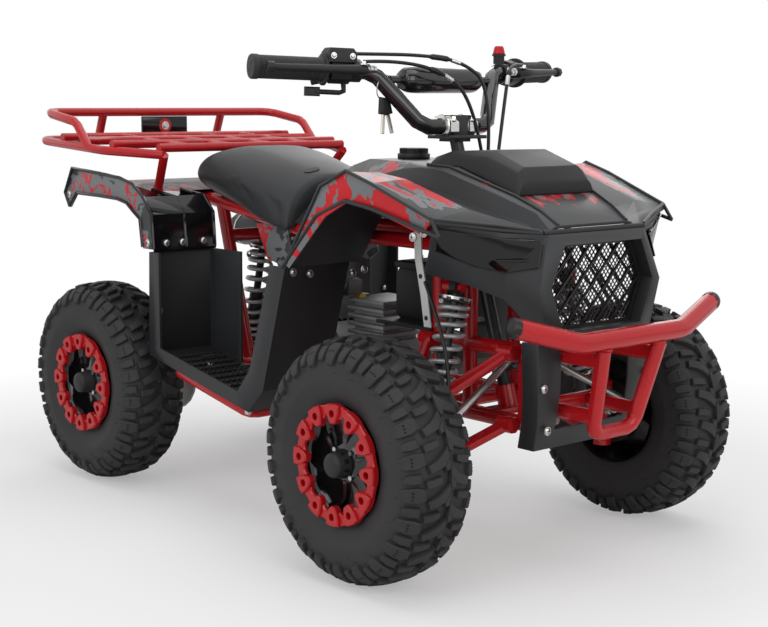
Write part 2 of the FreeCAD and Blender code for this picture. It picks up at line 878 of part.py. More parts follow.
def tie_rod(name, sign):
    rise = float(tie_eye_rise())
    deep = float(d.tie_rod_radius)
    inner = pitman_point(sign, rise)
    out_x, out_y, out_z = float(d.steer_arm_reach), float(d.kingpin_half) * sign, float(tie_end_height())
    outer_low, outer_high = (out_x, out_y, out_z - deep), (out_x, out_y, out_z + deep)
    inner_low, inner_high = pitman_point(sign, rise - deep), pitman_point(sign, rise + deep)
    body = fuse(name + "_body", [
        flat_bar(name + "_rod", inner, (out_x, out_y, out_z), d.tie_rod_radius),
        flat_bar(name + "_inner_eye", inner_low, inner_high, d.tie_eye_radius),
        flat_bar(name + "_outer_eye", outer_low, outer_high, d.tie_eye_radius + d.tie_play),
    ])
    inner_hole = flat_bar(name + "_inner_hole", pitman_point(sign, rise - deep * 2),
                          pitman_point(sign, rise + deep * 2), d.tie_stud_radius + d.running_gap * 2, d.bore_sides)
    outer_hole = flat_bar(name + "_outer_hole", (out_x, out_y, out_z - deep * 2), (out_x, out_y, out_z + deep * 2),
                          d.tie_stud_radius + d.tie_play)
    publish(cut(name, body, fuse(name + "_holes", [inner_hole, outer_hole])), name)


def bar_centre():
    """The middle of the handlebar where the clamp holds it."""
    x, y, z = steering_point(1)
    return x, z + d.bar_radius


def steering_column():
    axis = steering_axis()
    foot = vec(*steering_point(0))
    hub = foot + axis * float(d.pitman_height)
    hub_half = axis * float(d.tie_rod_radius)
    rise = float(tie_eye_rise() + d.tie_rod_radius)
    shapes = [
        rod("column_tube", steering_point(0), steering_point(1), d.column_radius),
        flat_bar("pitman_hub", tuple(hub - hub_half), tuple(hub + hub_half), d.column_radius + d.bearing_wall),
    ]
    for side, sign in (("right", -1), ("left", 1)):
        eye = pitman_point(sign)
        shapes.append(flat_bar(f"pitman_arm_{side}", tuple(hub), eye, d.tie_rod_radius))
        shapes.append(rod(f"pitman_stud_{side}", eye, pitman_point(sign, rise), d.tie_stud_radius))
    x, z = bar_centre()
    wide = d.bar_radius + d.bearing_wall
    shapes.append(block("bar_clamp", (x - wide, -wide, z - d.bar_radius * 2), (x + wide, wide, z + wide)))
    bore = d.bar_radius * corner_share + d.seat_gap
    hole = flat_bar("bar_clamp_hole", (x, -wide * 2, z), (x, wide * 2, z), bore)
    publish(cut("steering_column", fuse("column_parts", shapes), hole), "steering_column")


def grip_line(sign):
    """The grip's outer end and the bend at its inner end."""
    end = (-d.grip_end_set, d.grip_end_half * sign, d.grip_end_height)
    bend = (
        -d.bar_rise_set - d.bar_radius,
        (d.bar_rise_half + d.bar_radius * 2) * sign,
        d.bar_rise_height + d.bar_radius,
    )
    return end, bend


def handlebar():
    x, z = bar_centre()
    points = []
    for sign in (-1, 1):
        end, bend = grip_line(sign)
        side = [end, bend, (x, d.bar_clamp_half * sign, z)]
        points += side if sign < 0 else side[::-1]
    bar = tube("bar_tube", points, d.bar_radius, d.bar_radius * 2)
    brace_radius = d.bar_radius * half
    brace_end = (-d.bar_rise_set, d.bar_rise_half, d.bar_rise_height)
    brace_start = (-d.bar_rise_set, -d.bar_rise_half, d.bar_rise_height)
    brace = flat_bar("bar_brace", brace_start, brace_end, brace_radius)
    publish(fuse("handlebar", [bar, brace]), "handlebar")
    pad_start = (-d.bar_rise_set, -d.pad_half, d.bar_rise_height)
    pad_end = (-d.bar_rise_set, d.pad_half, d.bar_rise_height)
    publish(gather("bar_pad", [sleeve("bar_pad_roll", pad_start, pad_end, d.pad_radius, brace_radius)]), "bar_pad")
    grips = []
    for side, sign in (("right", -1), ("left", 1)):
        end, inner = vec(*grip_line(sign)[0]), vec(*grip_line(sign)[1])
        stop = end + (inner - end).normalize() * float(d.grip_length)
        bore = d.bar_radius + d.seat_gap
        grips.append(sleeve(f"grip_{side}", tuple(end), tuple(stop), d.grip_radius, bore))
    publish(gather("grips", grips), "grips")


def grip_point(sign, along, ahead=0, rise=0):
    """A point a distance along the handlebar from its inner bend, and so far ahead of it and above it."""
    end, bend = (vec(*point) for point in grip_line(sign))
    run = (end - bend).normalize()
    forward = Vector(-run.y, run.x, 0).normalize() * -sign
    return tuple(bend + run * float(along) + forward * float(ahead) + Vector(0, 0, float(rise)))


def hand_controls():
    """On each side a perch clamped round the bar with a ball-ended lever, and a box for throttle or switches."""
    bore = d.bar_radius + d.seat_gap
    ball = d.lever_radius * corner_share * corner_share
    perch_end = d.perch_set + d.perch_length
    middle = d.perch_set + d.perch_length * half
    box_end = perch_end + d.seat_gap + d.control_box_length
    tip_set = d.lever_set * lever_tip_share
    shapes = []
    for side, sign in (("right", -1), ("left", 1)):
        pivot = grip_point(sign, middle, d.lever_set)
        knee = grip_point(sign, d.lever_set * 2, d.lever_set)
        tip = grip_point(sign, d.lever_reach, tip_set)
        shapes.append(fuse(f"lever_{side}", [
            sleeve(f"perch_{side}", grip_point(sign, perch_end), grip_point(sign, d.perch_set), d.perch_radius, bore),
            flat_bar(f"perch_arm_{side}", grip_point(sign, middle, d.perch_radius - d.skin * half), pivot, d.perch_arm),
            flat_bar(f"lever_root_{side}", pivot, knee, d.lever_radius),
            flat_bar(f"lever_blade_{side}", knee, tip, d.lever_radius),
            flat_bar(f"lever_ball_{side}", tip, grip_point(sign, d.lever_reach + ball * 2, tip_set), ball * half * 3),
        ]))
        start = grip_point(sign, perch_end + d.seat_gap)
        box = sleeve(f"control_box_{side}", grip_point(sign, box_end), start, d.control_box_radius, bore)
        if sign < 0:
            low = d.control_box_radius * half
            thumb_root = grip_point(sign, perch_end + d.lever_radius * 2, -d.bar_radius - d.skin, -low)
            thumb_tip = grip_point(sign, perch_end + d.thumb_lever_length, -d.lever_set, -low * 2)
            box = fuse("throttle", [box, flat_bar("thumb_lever", thumb_root, thumb_tip, d.lever_radius)])
        shapes.append(box)
    publish(gather("hand_controls", shapes), "hand_controls")


lever_tip_share = 0.9


def control_cables():
    """Throttle and brake cables, looped over the bar and down past its clamp to the cowl."""
    box_rise = (d.control_box_radius + d.cable_radius) * corner_share + d.seat_gap
    arm_rise = (d.perch_arm + d.cable_radius) * corner_share + d.seat_gap
    perch = d.perch_set + d.perch_length * half
    starts = {
        "throttle": grip_point(-1, d.perch_set + d.perch_length + d.control_box_length * half, 0, box_rise),
        "brake_right": grip_point(-1, perch, d.lever_set, arm_rise),
        "brake_left": grip_point(1, perch, d.lever_set, arm_rise),
    }
    foot, high = d.cable_foot_height, d.cable_top_height
    cables = []
    for name, shares in cable_shares:
        points = [starts[name]]
        for back, side, rise in shares:
            points.append((-d.bar_rise_set * back, d.bar_rise_half * side, foot + (high - foot) * rise))
        cables.append(tube(f"cable_{name}", points, d.cable_radius, d.cable_bend))
    publish(gather("control_cables", cables), "control_cables")


cable_shares = (
    ("throttle", ((1.07, -1.3, 1), (0.93, -0.5, 1), (0.78, 0.12, 0.94), (0.65, 0.54, 0.66), (0.65, 0.5, 0))),
    ("brake_right", ((0.84, -1.15, 0.93), (0.74, -0.4, 0.84), (0.65, 0.15, 0.54), (0.63, 0.33, 0))),
    ("brake_left", ((0.84, 1.25, 0.93), (0.7, 0.95, 0.7), (0.65, 0.72, 0))),
)


def brake_cable(name, sign):
    """A cable from the drum's inner face up past the arms to the fender's underside."""
    face = d.kingpin_half + d.arm_boss_radius * corner_share + d.swing_gap - d.seat_gap - d.cable_radius * half
    low = d.wheel_radius + d.drum_radius * half
    points = []
    for ahead, inboard, rise in brake_cable_shares:
        z = low + (d.brake_cable_height - low) * rise
        points.append((d.drum_radius * ahead, (face - d.drum_radius * inboard) * sign, z))
    publish(gather(name, [tube(name + "_tube", points, d.cable_radius, d.cable_bend * half)]), name)


brake_cable_shares = ((0.75, 0.03, 0), (1.3, 0.3, 0.1), (1.75, 0.5, 0.3), (1.1, 0.9, 0.66), (0, 1.15, 1))


def rear_axle():
    y_end = d.rear_track * half + d.rim_lip_half - d.rim_face_set + d.rim_wall * 4
    x, z = -d.wheelbase, d.wheel_radius
    shapes = [rod("axle_bar", (x, -y_end, z), (x, y_end, z), d.axle_radius)]
    for name, y, radius in (("sprocket", d.sprocket_set, d.sprocket_radius), ("disc", -d.sprocket_set, d.disc_radius)):
        start = (x, y - d.disc_thickness * half, z)
        end = (x, y + d.disc_thickness * half, z)
        shapes.append(flat_bar(name + "_plate", start, end, radius, d.disc_sides))
    publish(fuse("rear_axle", shapes), "rear_axle")


def swing_front():
    """The swingarm's front sleeve lies just behind the frame's pivot tube."""
    return -d.swing_pivot_set - d.frame_tube_radius - d.seat_gap - d.swing_tube_radius


def swing_middle():
    """Where the rear damper's foot is carried, half way along the swingarm."""
    return (swing_front() - d.wheelbase) * half, (d.lower_rail_height + d.wheel_radius) * half


def swingarm():
    front_x, front_z = swing_front(), d.lower_rail_height
    x, z = -d.wheelbase, d.wheel_radius
    wide = d.swing_half_width
    radius = d.swing_tube_radius
    shapes = [flat_bar("swing_sleeve", (front_x, -wide, front_z), (front_x, wide, front_z), radius)]
    for side, sign in (("right", -1), ("left", 1)):
        y = wide * sign
        low, high = y - d.carrier_width * half, y + d.carrier_width * half
        shapes.append(flat_bar(f"swing_tube_{side}", (front_x, y, front_z), (x, y, z), radius))
        shapes.append(flat_bar(f"carrier_{side}", (x, low, z), (x, high, z), d.carrier_radius))
    mid_x, mid_z = swing_middle()
    shapes.append(flat_bar("swing_cross", (mid_x, -wide, mid_z), (mid_x, wide, mid_z), d.frame_tube_radius))
    bore = d.axle_radius + d.running_gap
    hole = flat_bar("carrier_hole", (x, -wide * 2, z), (x, wide * 2, z), bore, d.bore_sides)
    publish(cut("swingarm", fuse("swing_tubes", shapes), hole), "swingarm")


def shocks():
    """Three dampers, each with its coil spring round it, hung on pins at both ends."""
    ends = []
    for sign in (-1, 1):
        top = (d.shock_set, d.shock_top_half * sign, d.shock_top_height)
        foot = (d.shock_set, d.shock_foot_half * sign, lower_arm_height(d.shock_foot_half))
        ends.append((top, foot, (1, 0, 0), d.shock_pin_radius))
    stay_x, stay_z = rear_stay_point(rear_shock_share)
    mid_x, mid_z = swing_middle()
    ends.append(((stay_x, 0, stay_z), (mid_x, 0, mid_z), (0, 1, 0), d.frame_tube_radius))
    dampers, springs = [], []
    outer = d.spring_radius + d.spring_wire * half
    wire = float(d.seat_gap)
    for index, (top, foot, pin_axis, pin) in enumerate(ends):
        name = f"damper_{index + 1}"
        top_point, foot_point = vec(*top), vec(*foot)
        along = (foot_point - top_point).normalize()
        across = Vector(*pin_axis) * float(d.shock_eye_width * half)
        eye = pin + d.bearing_wall
        first = top_point + along * float(eye + d.skin * 2)
        length = d.spring_length if index < 2 else d.rear_spring_length
        last = first + along * float(length)
        collar = along * float(d.skin)
        shapes = [
            flat_bar(name + "_rod", tuple(top_point), tuple(last), d.damper_rod_radius),
            flat_bar(name + "_body", tuple(last - along * float(length * half)), foot, d.damper_radius),
            flat_bar(name + "_cap", tuple(first - collar), tuple(first), outer),
            flat_bar(name + "_perch", tuple(last), tuple(last + collar), outer),
        ]
        holes = []
        for spot_name, spot in (("top", top_point), ("foot", foot_point)):
            start, end = tuple(spot - across), tuple(spot + across)
            shapes.append(flat_bar(f"{name}_{spot_name}_eye", start, end, eye))
            wide_start, wide_end = tuple(spot - across * 2), tuple(spot + across * 2)
            holes.append(flat_bar(f"{name}_{spot_name}_hole", wide_start, wide_end, pin + d.seat_gap))
        dampers.append(cut(name, fuse(name + "_parts", shapes), fuse(name + "_holes", holes)))
        springs.append(coil(f"spring_{index + 1}", first + along * wire, last - along * wire))
    publish(gather("dampers", dampers), "dampers")
    publish(gather("springs", springs), "springs")


def coil(name, start, end):
    """A coil spring as a polyhedral tube of square wire along a helix between two seats."""
    axis = (end - start).normalize()
    length = (end - start).Length - float(d.spring_wire)
    base = Rotation(Vector(0, 0, 1), axis)
    turns = int(float(d.spring_coils))
    steps = turns * int(float(d.coil_steps))
    wire = float(d.spring_wire) * half
    loops = []
    for index in range(steps + 1):
        share = index / steps
        angle = 360 * turns * share
        level = wire + length * share
        spin = Rotation(Vector(0, 0, 1), angle)
        corners = []
        for out, up in ((-wire, 0), (0, -wire), (wire, 0), (0, wire)):
            local = spin.multVec(Vector(float(d.spring_radius) + out, 0, 0)) + Vector(0, 0, level + up)
            corners.append(start + base.multVec(local))
        loops.append(corners)
    faces = [Part.Face(Part.makePolygon(loops[0] + loops[0][:1]))]
    for here, there in zip(loops, loops[1:]):
        for index in range(4):
            after = (index + 1) % 4
            a, b, c, e = here[index], here[after], there[after], there[index]
            faces.append(Part.Face(Part.makePolygon([a, b, c, a])))
            faces.append(Part.Face(Part.makePolygon([a, c, e, a])))
    faces.append(Part.Face(Part.makePolygon(loops[-1] + loops[-1][:1])))
    spring = doc.addObject("Part::Feature", name)
    spring.Shape = Part.makeSolid(Part.makeShell(faces))
    return spring


# Bumper and rack
# Bent red tube, welded at its crossings.

def bumper():
    bar_points = []
    for sign in (-1, 1):
        side = [
            (d.bumper_end_set, d.bumper_end_half * sign, d.bumper_end_height),
            (d.bumper_reach, d.bumper_bend_half * sign, d.bumper_height),
        ]
        bar_points += side if sign < 0 else side[::-1]
    bar = tube("bumper_bar", bar_points, d.bumper_tube_radius, d.bumper_tube_radius * 3)
    top_z = d.bumper_height - d.bumper_tube_radius
    top_x = d.bumper_reach
    foot_x = d.bumper_end_set - d.hoop_tube_radius * half
    hoop_points = [
        (top_x, -d.hoop_half, top_z),
        (foot_x, -d.hoop_foot_half, d.hoop_foot_height),
        (foot_x, d.hoop_foot_half, d.hoop_foot_height),
        (top_x, d.hoop_half, top_z),
    ]
    hoop = tube("bumper_hoop", hoop_points, d.hoop_tube_radius, d.hoop_tube_radius * 2)
    parts = [bar, hoop]
    nose = d.frame_front + d.frame_tube_radius + d.seat_gap
    for level, z in (("stay", d.upper_rail_height), ("foot", front_cross_height())):
        up = (z - d.hoop_foot_height) / (top_z - d.hoop_foot_height)
        x = foot_x + (top_x - foot_x) * up
        y = d.hoop_foot_half + (d.hoop_half - d.hoop_foot_half) * up
        for side, sign in (("right", -1), ("left", 1)):
            parts.append(flat_bar(f"bumper_{level}_{side}", (x, y * sign, z), (nose, y * sign, z), d.hoop_tube_radius))
    publish(fuse("front_bumper", parts), "front_bumper")


def rack_point(share):
    """The side rail's middle at a share of the way back: place along, half width and height."""
    x = -d.rack_front + (d.rack_front - d.rack_rear) * share
    bend_share = (d.rack_bend_set - d.rack_front) / (d.rack_rear - d.rack_front)
    z = d.rack_height + (d.rack_rear_height - d.rack_height) * share
    if share >= float(bend_share):
        return x, d.rack_half, z
    return x, d.rack_front_half + (d.rack_half - d.rack_front_half) * (share / bend_share), z


def rack():
    radius = d.rack_tube_radius
    bend = radius * 3
    bend_share = float((d.rack_bend_set - d.rack_front) / (d.rack_rear - d.rack_front))
    loop = []
    for sign in (-1, 1):
        side = [(x, y * sign, z) for x, y, z in (rack_point(0), rack_point(bend_share), rack_point(1))]
        loop += side if sign < 0 else side[::-1]
    guard = []
    foot_share = float((d.guard_foot - d.rack_front) / (d.rack_rear - d.rack_front))
    for sign in (-1, 1):
        side = [
            (-d.guard_foot, d.rack_half * sign, rack_point(foot_share)[2]),
            (-d.guard_bend_set, d.rack_half * sign, d.guard_bend_height),
            (-d.guard_rear, d.rack_half * sign, d.guard_height),
        ]
        guard += side if sign < 0 else side[::-1]
    tubes = [tube("rack_loop", loop, radius, bend), tube("rack_guard", guard, radius, bend)]
    lift = radius * 1.5
    for index, share in enumerate(rack_slat_shares):
        x, y, z = rack_point(share)
        tubes.append(flat_bar(f"rack_slat_{index + 1}", (x, -y, z + lift), (x, y, z + lift), radius))
    first, last = rack_point(rack_slat_shares[0]), rack_point(rack_slat_shares[-1])
    for index, share in enumerate(rack_bar_shares):
        y = d.rack_post_half * share
        start, end = (first[0], y, first[2] + lift), (last[0], y, last[2] + lift)
        tubes.append(flat_bar(f"rack_long_{index + 1}", start, end, radius * 0.8))
    deck_level = deck_height(-d.rack_leg_foot - radius * half) + d.seat_gap
    for side, sign in (("right", -1), ("left", 1)):
        y = d.rack_post_half * sign
        foot = (rack_point(1)[0], y, d.rack_rear_height)
        tubes.append(flat_bar(f"rack_post_{side}", foot, (-d.guard_rear, y, d.guard_height), radius))
        top_x, top_y, top_z = rack_point(0)
        leg_foot = (-d.rack_leg_foot, d.rack_leg_half * sign, deck_level)
        tubes.append(flat_bar(f"rack_leg_{side}", (top_x, top_y * sign, top_z), leg_foot, radius))
    ends = fuse("rack_tubes", tubes)
    low = (-d.rack_rear, -d.rack_half, deck_level - d.rack_leg_half)
    high = (-d.rack_front, d.rack_half, deck_level)
    publish(cut("rear_rack", ends, block("rack_feet_level", low, high)), "rear_rack")


rack_slat_shares = (0.03, 0.28, 0.52, 0.76)
rack_bar_shares = (-1, -0.34, 0.34, 1)


# Bodywork
# Moulded plastic skins of one thickness: hood, fenders, mask, cowl, chin plate and footwells.

def facet_pair(a, b, c, e):
    """The two triangles of a four-cornered facet, which may be twisted."""
    return [Part.Face(Part.makePolygon([a, b, c, a])), Part.Face(Part.makePolygon([a, c, e, a]))]


def facet_loft(name, sections, closed=False, thin=False):
    """A solid of flat faces through cross-sections of as many corners each, with ends unless closed.

    In a thin skin the facets of the inner side are split the same way as those of the outer side.
    """
    rings = [[vec(*point) for point in section] for section in sections]
    pairs = list(zip(rings, rings[1:]))
    if closed:
        pairs.append((rings[-1], rings[0]))
    faces = []
    for here, there in pairs:
        for index in range(len(here)):
            after = (index + 1) % len(here)
            corners = [here[index], here[after], there[after], there[index]]
            if thin and index >= len(here) // 2:
                corners = corners[1:] + corners[:1]
            faces += facet_pair(*corners)
    for ring in () if closed else (rings[0], rings[-1]):
        if thin:
            for index in range(len(ring) // 2 - 1):
                faces += facet_pair(ring[index], ring[index + 1], ring[-2 - index], ring[-1 - index])
        else:
            faces.append(Part.Face(Part.makePolygon(ring + ring[:1])))
    solid = Part.makeSolid(Part.makeShell(faces))
    if solid.Volume < 0:
        solid.reverse()
    shell = doc.addObject("Part::Feature", name)
    shell.Shape = solid
    return shell


def moved(point, step):
    return tuple(place + shift for place, shift in zip(point, step))


def between(start, end, share):
    return tuple(here + (there - here) * share for here, there in zip(start, end))


def skin_loft(name, rows, wall):
    """A moulded skin through rows of points, thickened by one step for the whole of it."""
    sections = [row + [moved(point, wall) for point in reversed(row)] for row in rows]
    return facet_loft(name, sections, thin=True)


def panel(name, corners, y, thickness):
    """A flat plate in a lengthwise plane, centred on y."""
    body = new_body(name)
    sketch = outline(body, name + "_edge", "XZ_Plane", corners, set_off=-y)
    pad(body, sketch, thickness, middle=True)
    return body


def both_sides(row):
    """A half row of (x, y, z) points from the edge inwards, carried over to the other side."""
    return [(x, -y, z) for x, y, z in row] + [(x, y, z) for x, y, z in reversed(row)]


def hood_place(back, rise):
    """A place along the hood, from the nose back to the seat, and a height above the fender's foot."""
    x = d.nose_reach - (d.nose_reach + d.seat_front - d.seat_gap) * back
    return x, d.fender_rear_height + (d.hood_height - d.fender_rear_height) * rise


def hood_rows():
    """Half rows of the hood and fender from the fender's edge to the raised plate's top edge."""
    rows = []
    for back, corners in hood_row_shares:
        rows.append([(hood_place(back, rise)[0], d.fender_half * out, hood_place(back, rise)[1])
                     for out, rise in corners])
    flange = d.tank_rail_height + d.frame_tube_radius + d.seat_gap + d.skin
    for back, corners in tank_row_shares:
        x = hood_place(back, 0)[0]
        rows.append([(x, d.fender_half * out, flange + (d.hood_height - flange) * rise) for out, rise in corners])
    return rows


def hood_top(x):
    """The raised plate's height at a place along the bike."""
    rows = hood_rows()
    for here, there in zip(rows, rows[1:]):
        (x_a, y_a, z_a), (x_b, y_b, z_b) = here[-1], there[-1]
        if float(x_b) <= float(x) <= float(x_a):
            return z_a + (z_b - z_a) * ((x_a - x) / (x_a - x_b))
    raise ValueError("the place lies off the hood")


def front_fender():
    rows = hood_rows()
    shapes = [skin_loft("hood", [both_sides(row) for row in rows], (0, 0, -d.skin))]
    edge = [row[0] for row in rows[fender_edge_rows[0]:fender_edge_rows[1]]]
    for side, sign in (("right", -1), ("left", 1)):
        band = []
        for (x, y, z), (back, drop) in zip(edge, fender_band_shares):
            band.append([(x, y * sign, z), (x + d.fender_band * back, y * sign, z - d.fender_band * drop)])
        shapes.append(skin_loft(f"fender_band_{side}", band, (0, -d.skin * sign, 0)))
    column_x = steering_point(share_at(d.hood_height))[0]
    wide = d.column_radius + d.bearing_wall
    low = (column_x, 0, d.hood_height - d.fender_band)
    high = (column_x, 0, d.hood_height + d.fender_band)
    hole = flat_bar("hood_hole", low, high, wide)
    publish(cut("front_fender", fuse("fender_skins", shapes), hole), "front_fender")


# Each row: its share of the way back from the nose, then corners from the fender's edge inwards, as
# shares of the fender's half width and of the hood's height over the fender's foot.
hood_row_shares = (
    (0.0, ((0.416, 0.449), (0.4, 0.456), (0.37, 0.449), (0.335, 0.449), (0.312, 0.478), (0.272, 0.493))),
    (0.055, ((0.624, 0.507), (0.5, 0.536), (0.384, 0.478), (0.348, 0.486), (0.32, 0.601), (0.288, 0.623))),
    (0.13, ((0.92, 0.572), (0.66, 0.645), (0.44, 0.551), (0.4, 0.558), (0.36, 0.71), (0.312, 0.746))),
    (0.34, ((0.948, 0.87), (0.7, 0.9), (0.488, 0.754), (0.448, 0.768), (0.424, 0.964), (0.368, 0.993))),
    (0.43, ((0.956, 0.971), (0.72, 0.949), (0.488, 0.79), (0.448, 0.804), (0.424, 0.986), (0.368, 1.007))),
    (0.515, ((0.984, 0.812), (0.74, 0.797), (0.472, 0.725), (0.44, 0.746), (0.4, 0.957), (0.336, 1.022))),
    (0.655, ((1.0, 0.0), (0.74, 0.0), (0.452, 0.0), (0.424, 0.304), (0.384, 0.84), (0.264, 1.022))),
    (0.661, ((0.464, 0.0), (0.458, 0.0), (0.452, 0.0), (0.424, 0.304), (0.38, 0.84), (0.26, 1.022))),
)
tank_row_shares = (
    (0.745, ((0.368, 0.0), (0.364, 0.0), (0.36, 0.0), (0.356, 0.03), (0.336, 0.613), (0.22, 1.031))),
    (0.86, ((0.368, 0.0), (0.364, 0.0), (0.36, 0.0), (0.352, 0.03), (0.296, 0.518), (0.144, 0.905))),
    (1.0, ((0.368, 0.0), (0.364, 0.0), (0.36, 0.0), (0.344, 0.03), (0.208, 0.352), (0.064, 0.634))),
)
fender_edge_rows = (2, 7)
fender_band_shares = ((-0.35, 0.45), (-0.05, 0.72), (0.05, 0.88), (0.2, 0.87), (0.17, 0.1))


def mask_top():
    """The mask's upper edge, just under the hood's nose."""
    return hood_rows()[0][0][2] - d.skin - d.seat_gap


def mask_ring(reach_shares, half_shares, rise_shares):
    """Three corners on the right of the mask's face, from its top to its bottom."""
    top = mask_top()
    return [(d.mask_reach * reach, d.grille_half * wide, d.mask_bottom + (top - d.mask_bottom) * rise)
            for reach, wide, rise in zip(reach_shares, half_shares, rise_shares)]


def around(corners):
    """Three corners of the right side and the same three on the left, in order round the face."""
    return [(x, -y, z) for x, y, z in corners] + [(x, y, z) for x, y, z in reversed(corners)]


def mask():
    outer = mask_ring((0.903, 0.96, 0.943), (0.96, 1.188, 1.02), (1, 0.505, 0))
    inner = mask_ring((0.971, 0.975, 0.977), (0.752, 1, 0.762), (0.905, 0.519, 0.1))
    deep = (-d.grille_edge, 0, 0)
    sections = []
    for edge, lip in zip(around(outer), around(inner)):
        sections.append([edge, lip, moved(lip, deep), moved(edge, deep)])
    shapes = [facet_loft("mask_face", sections, closed=True)]
    for side, sign in (("right", -1), ("left", 1)):
        rows = cheek_rows(sign)
        shapes.append(skin_loft(f"mask_cheek_{side}", rows, (-d.skin, -d.skin * half * sign, 0)))
    publish(fuse("nose_mask", shapes), "nose_mask")
    publish(grille(inner), "grille")


def cheek_rows(sign):
    """The mask's cheek: rows of top, middle and lower corner, from the face out to the fender's corner."""
    outer = mask_ring((0.903, 0.96, 0.943), (0.96, 1.188, 1.02), (1, 0.505, 0))
    rows = [[(x, y * sign, z) for x, y, z in outer]]
    top = mask_top()
    for row in cheek_shares:
        rows.append([(d.mask_reach * reach, d.mask_half * wide * sign, d.mask_bottom + (top - d.mask_bottom) * rise)
                     for reach, wide, rise in row])
    return rows


cheek_shares = (
    ((0.75, 0.63, 1.025), (0.72, 0.6, 0.63), (0.714, 0.596, 0.405)),
    ((0.594, 0.817, 1.07), (0.594, 0.74, 0.7), (0.52, 0.74, 0.54)),
    ((0.474, 0.974, 1.11), (0.38, 0.93, 0.85), (0.265, 0.885, 0.63)),
)


def grille(opening):
    """A lattice of slanting bars in two layers, their ends let into a rim inside the mask's opening."""
    rim_deep = d.grille_bar * 3
    centre_z = (d.mask_bottom + mask_top()) * half
    back = float(opening[0][0]) - float(d.grille_edge) + float(rim_deep)
    outer = []
    for x, y, z in around(opening):
        pull = d.seat_gap * 2 / (d.grille_half * half)
        outer.append((y - y * pull, z - (z - centre_z) * pull))
    inner = [(y * grille_rim_share, centre_z + (z - centre_z) * grille_rim_share) for y, z in outer]
    sections = []
    for (y_out, z_out), (y_in, z_in) in zip(outer, inner):
        sections.append([(back, y_out, z_out), (back, y_in, z_in), (back - rim_deep, y_in, z_in),
                         (back - rim_deep, y_out, z_out)])
    bars = [facet_loft("grille_rim", sections, closed=True)]
    middle = [((a[0] + b[0]) * half, (a[1] + b[1]) * half) for a, b in zip(outer, inner)]
    loop = [Vector(float(y), float(z), 0) for y, z in middle]
    heart = Vector(0, float(centre_z), 0)
    for layer, slant in ((1, 1), (2, -1)):
        along = Vector(1, slant, 0).normalize()
        side = Vector(-along.y, along.x, 0)
        depth = back - float(d.grille_bar) * (layer + half * (layer - 1.5))
        count = int(float(d.grille_half) * 2 / float(d.grille_pitch))
        for step in range(-count, count + 1):
            start = heart + side * (step * float(d.grille_pitch))
            hits = crossings_of(loop, start, along)
            if len(hits) == 2 and (hits[1] - hits[0]).Length > float(d.grille_pitch):
                ends = [(depth, hit.x, hit.y) for hit in hits]
                bars.append(flat_bar(f"grille_bar_{layer}_{step + count}", ends[0], ends[1], d.grille_bar * half, 4))
    return fuse("grille", bars)


def crossings_of(loop, start, along):
    """Where an endless line cuts the sides of a closed flat outline."""
    hits = []
    for a, b in zip(loop, loop[1:] + loop[:1]):
        edge = b - a
        turn = along.x * edge.y - along.y * edge.x
        if abs(turn) > 0:
            offset = a - start
            share = (offset.x * along.y - offset.y * along.x) / turn
            if 0 <= share < 1:
                hits.append(a + edge * share)
    return hits


grille_rim_share = 0.93


def headlights():
    """A faceted lens over the upper part of each cheek."""
    lamps = []
    for side, sign in (("right", -1), ("left", 1)):
        rows = cheek_rows(sign)
        lens = []
        for (first, share), (top_share, low_share) in zip(lens_place_shares, lens_rise_shares):
            top = between(rows[first][0], rows[first + 1][0], share)
            low = between(rows[first][1], rows[first + 1][1], share)
            lens.append([moved(between(top, low, rise), (d.seat_gap, d.seat_gap * sign, 0))
                         for rise in (top_share, low_share)])
        lamps.append(skin_loft(f"headlight_{side}", lens, (d.lens_proud, d.lens_proud * half * sign, 0)))
    publish(gather("headlights", lamps), "headlights")


lens_place_shares = ((0, 0.12), (1, 0.0), (2, 0.0), (2, 0.9))
lens_rise_shares = ((0.14, 0.6), (0.12, 0.93), (0.12, 0.95), (0.14, 0.9))


def chin_plate():
    """A plate under the mask with side walls, an opening for the bumper's stays and two brackets."""
    top, foot = d.mask_bottom - d.seat_gap, d.chin_foot_height
    sections = []
    for reach, wide, rise in chin_shares:
        x, y, z = d.mask_reach * reach, d.chin_half * wide, foot + (top - foot) * rise
        back = x - d.chin_depth
        sections.append([(back, -y, z), (x, -y, z), (x, y, z), (back, y, z), (back, y - d.skin, z),
                         (x - d.skin, y - d.skin, z), (x - d.skin, -y + d.skin, z), (back, -y + d.skin, z)])
    shell = facet_loft("chin_shell", sections)
    sill = d.hoop_foot_height + d.hoop_tube_radius * half
    wide = d.chin_opening_half
    opening = block("chin_opening", (d.frame_front, -wide, sill), (d.mask_reach + d.chin_depth, wide, top - d.skin * 2))
    shapes = [cut("chin_face", shell, opening)]
    nose = d.frame_front + d.frame_tube_radius + d.seat_gap
    for side, sign in (("right", -1), ("left", 1)):
        inner, outer = (wide + d.seat_gap) * sign, (d.frame_half_width + d.frame_tube_radius) * sign
        low_y, high_y = (outer, inner) if sign < 0 else (inner, outer)
        low = (nose, low_y, d.upper_rail_height - d.skin)
        high = (d.mask_reach * chin_bracket_share, high_y, d.upper_rail_height)
        shapes.append(block(f"chin_bracket_{side}", low, high))
    publish(fuse("chin_plate", shapes), "chin_plate")


chin_bracket_share = 0.885
chin_shares = (
    (0.8, 0.88, 0), (0.88, 0.95, 0.26), (0.914, 1, 0.55), (0.914, 1.02, 0.79), (0.9, 1, 1),
)


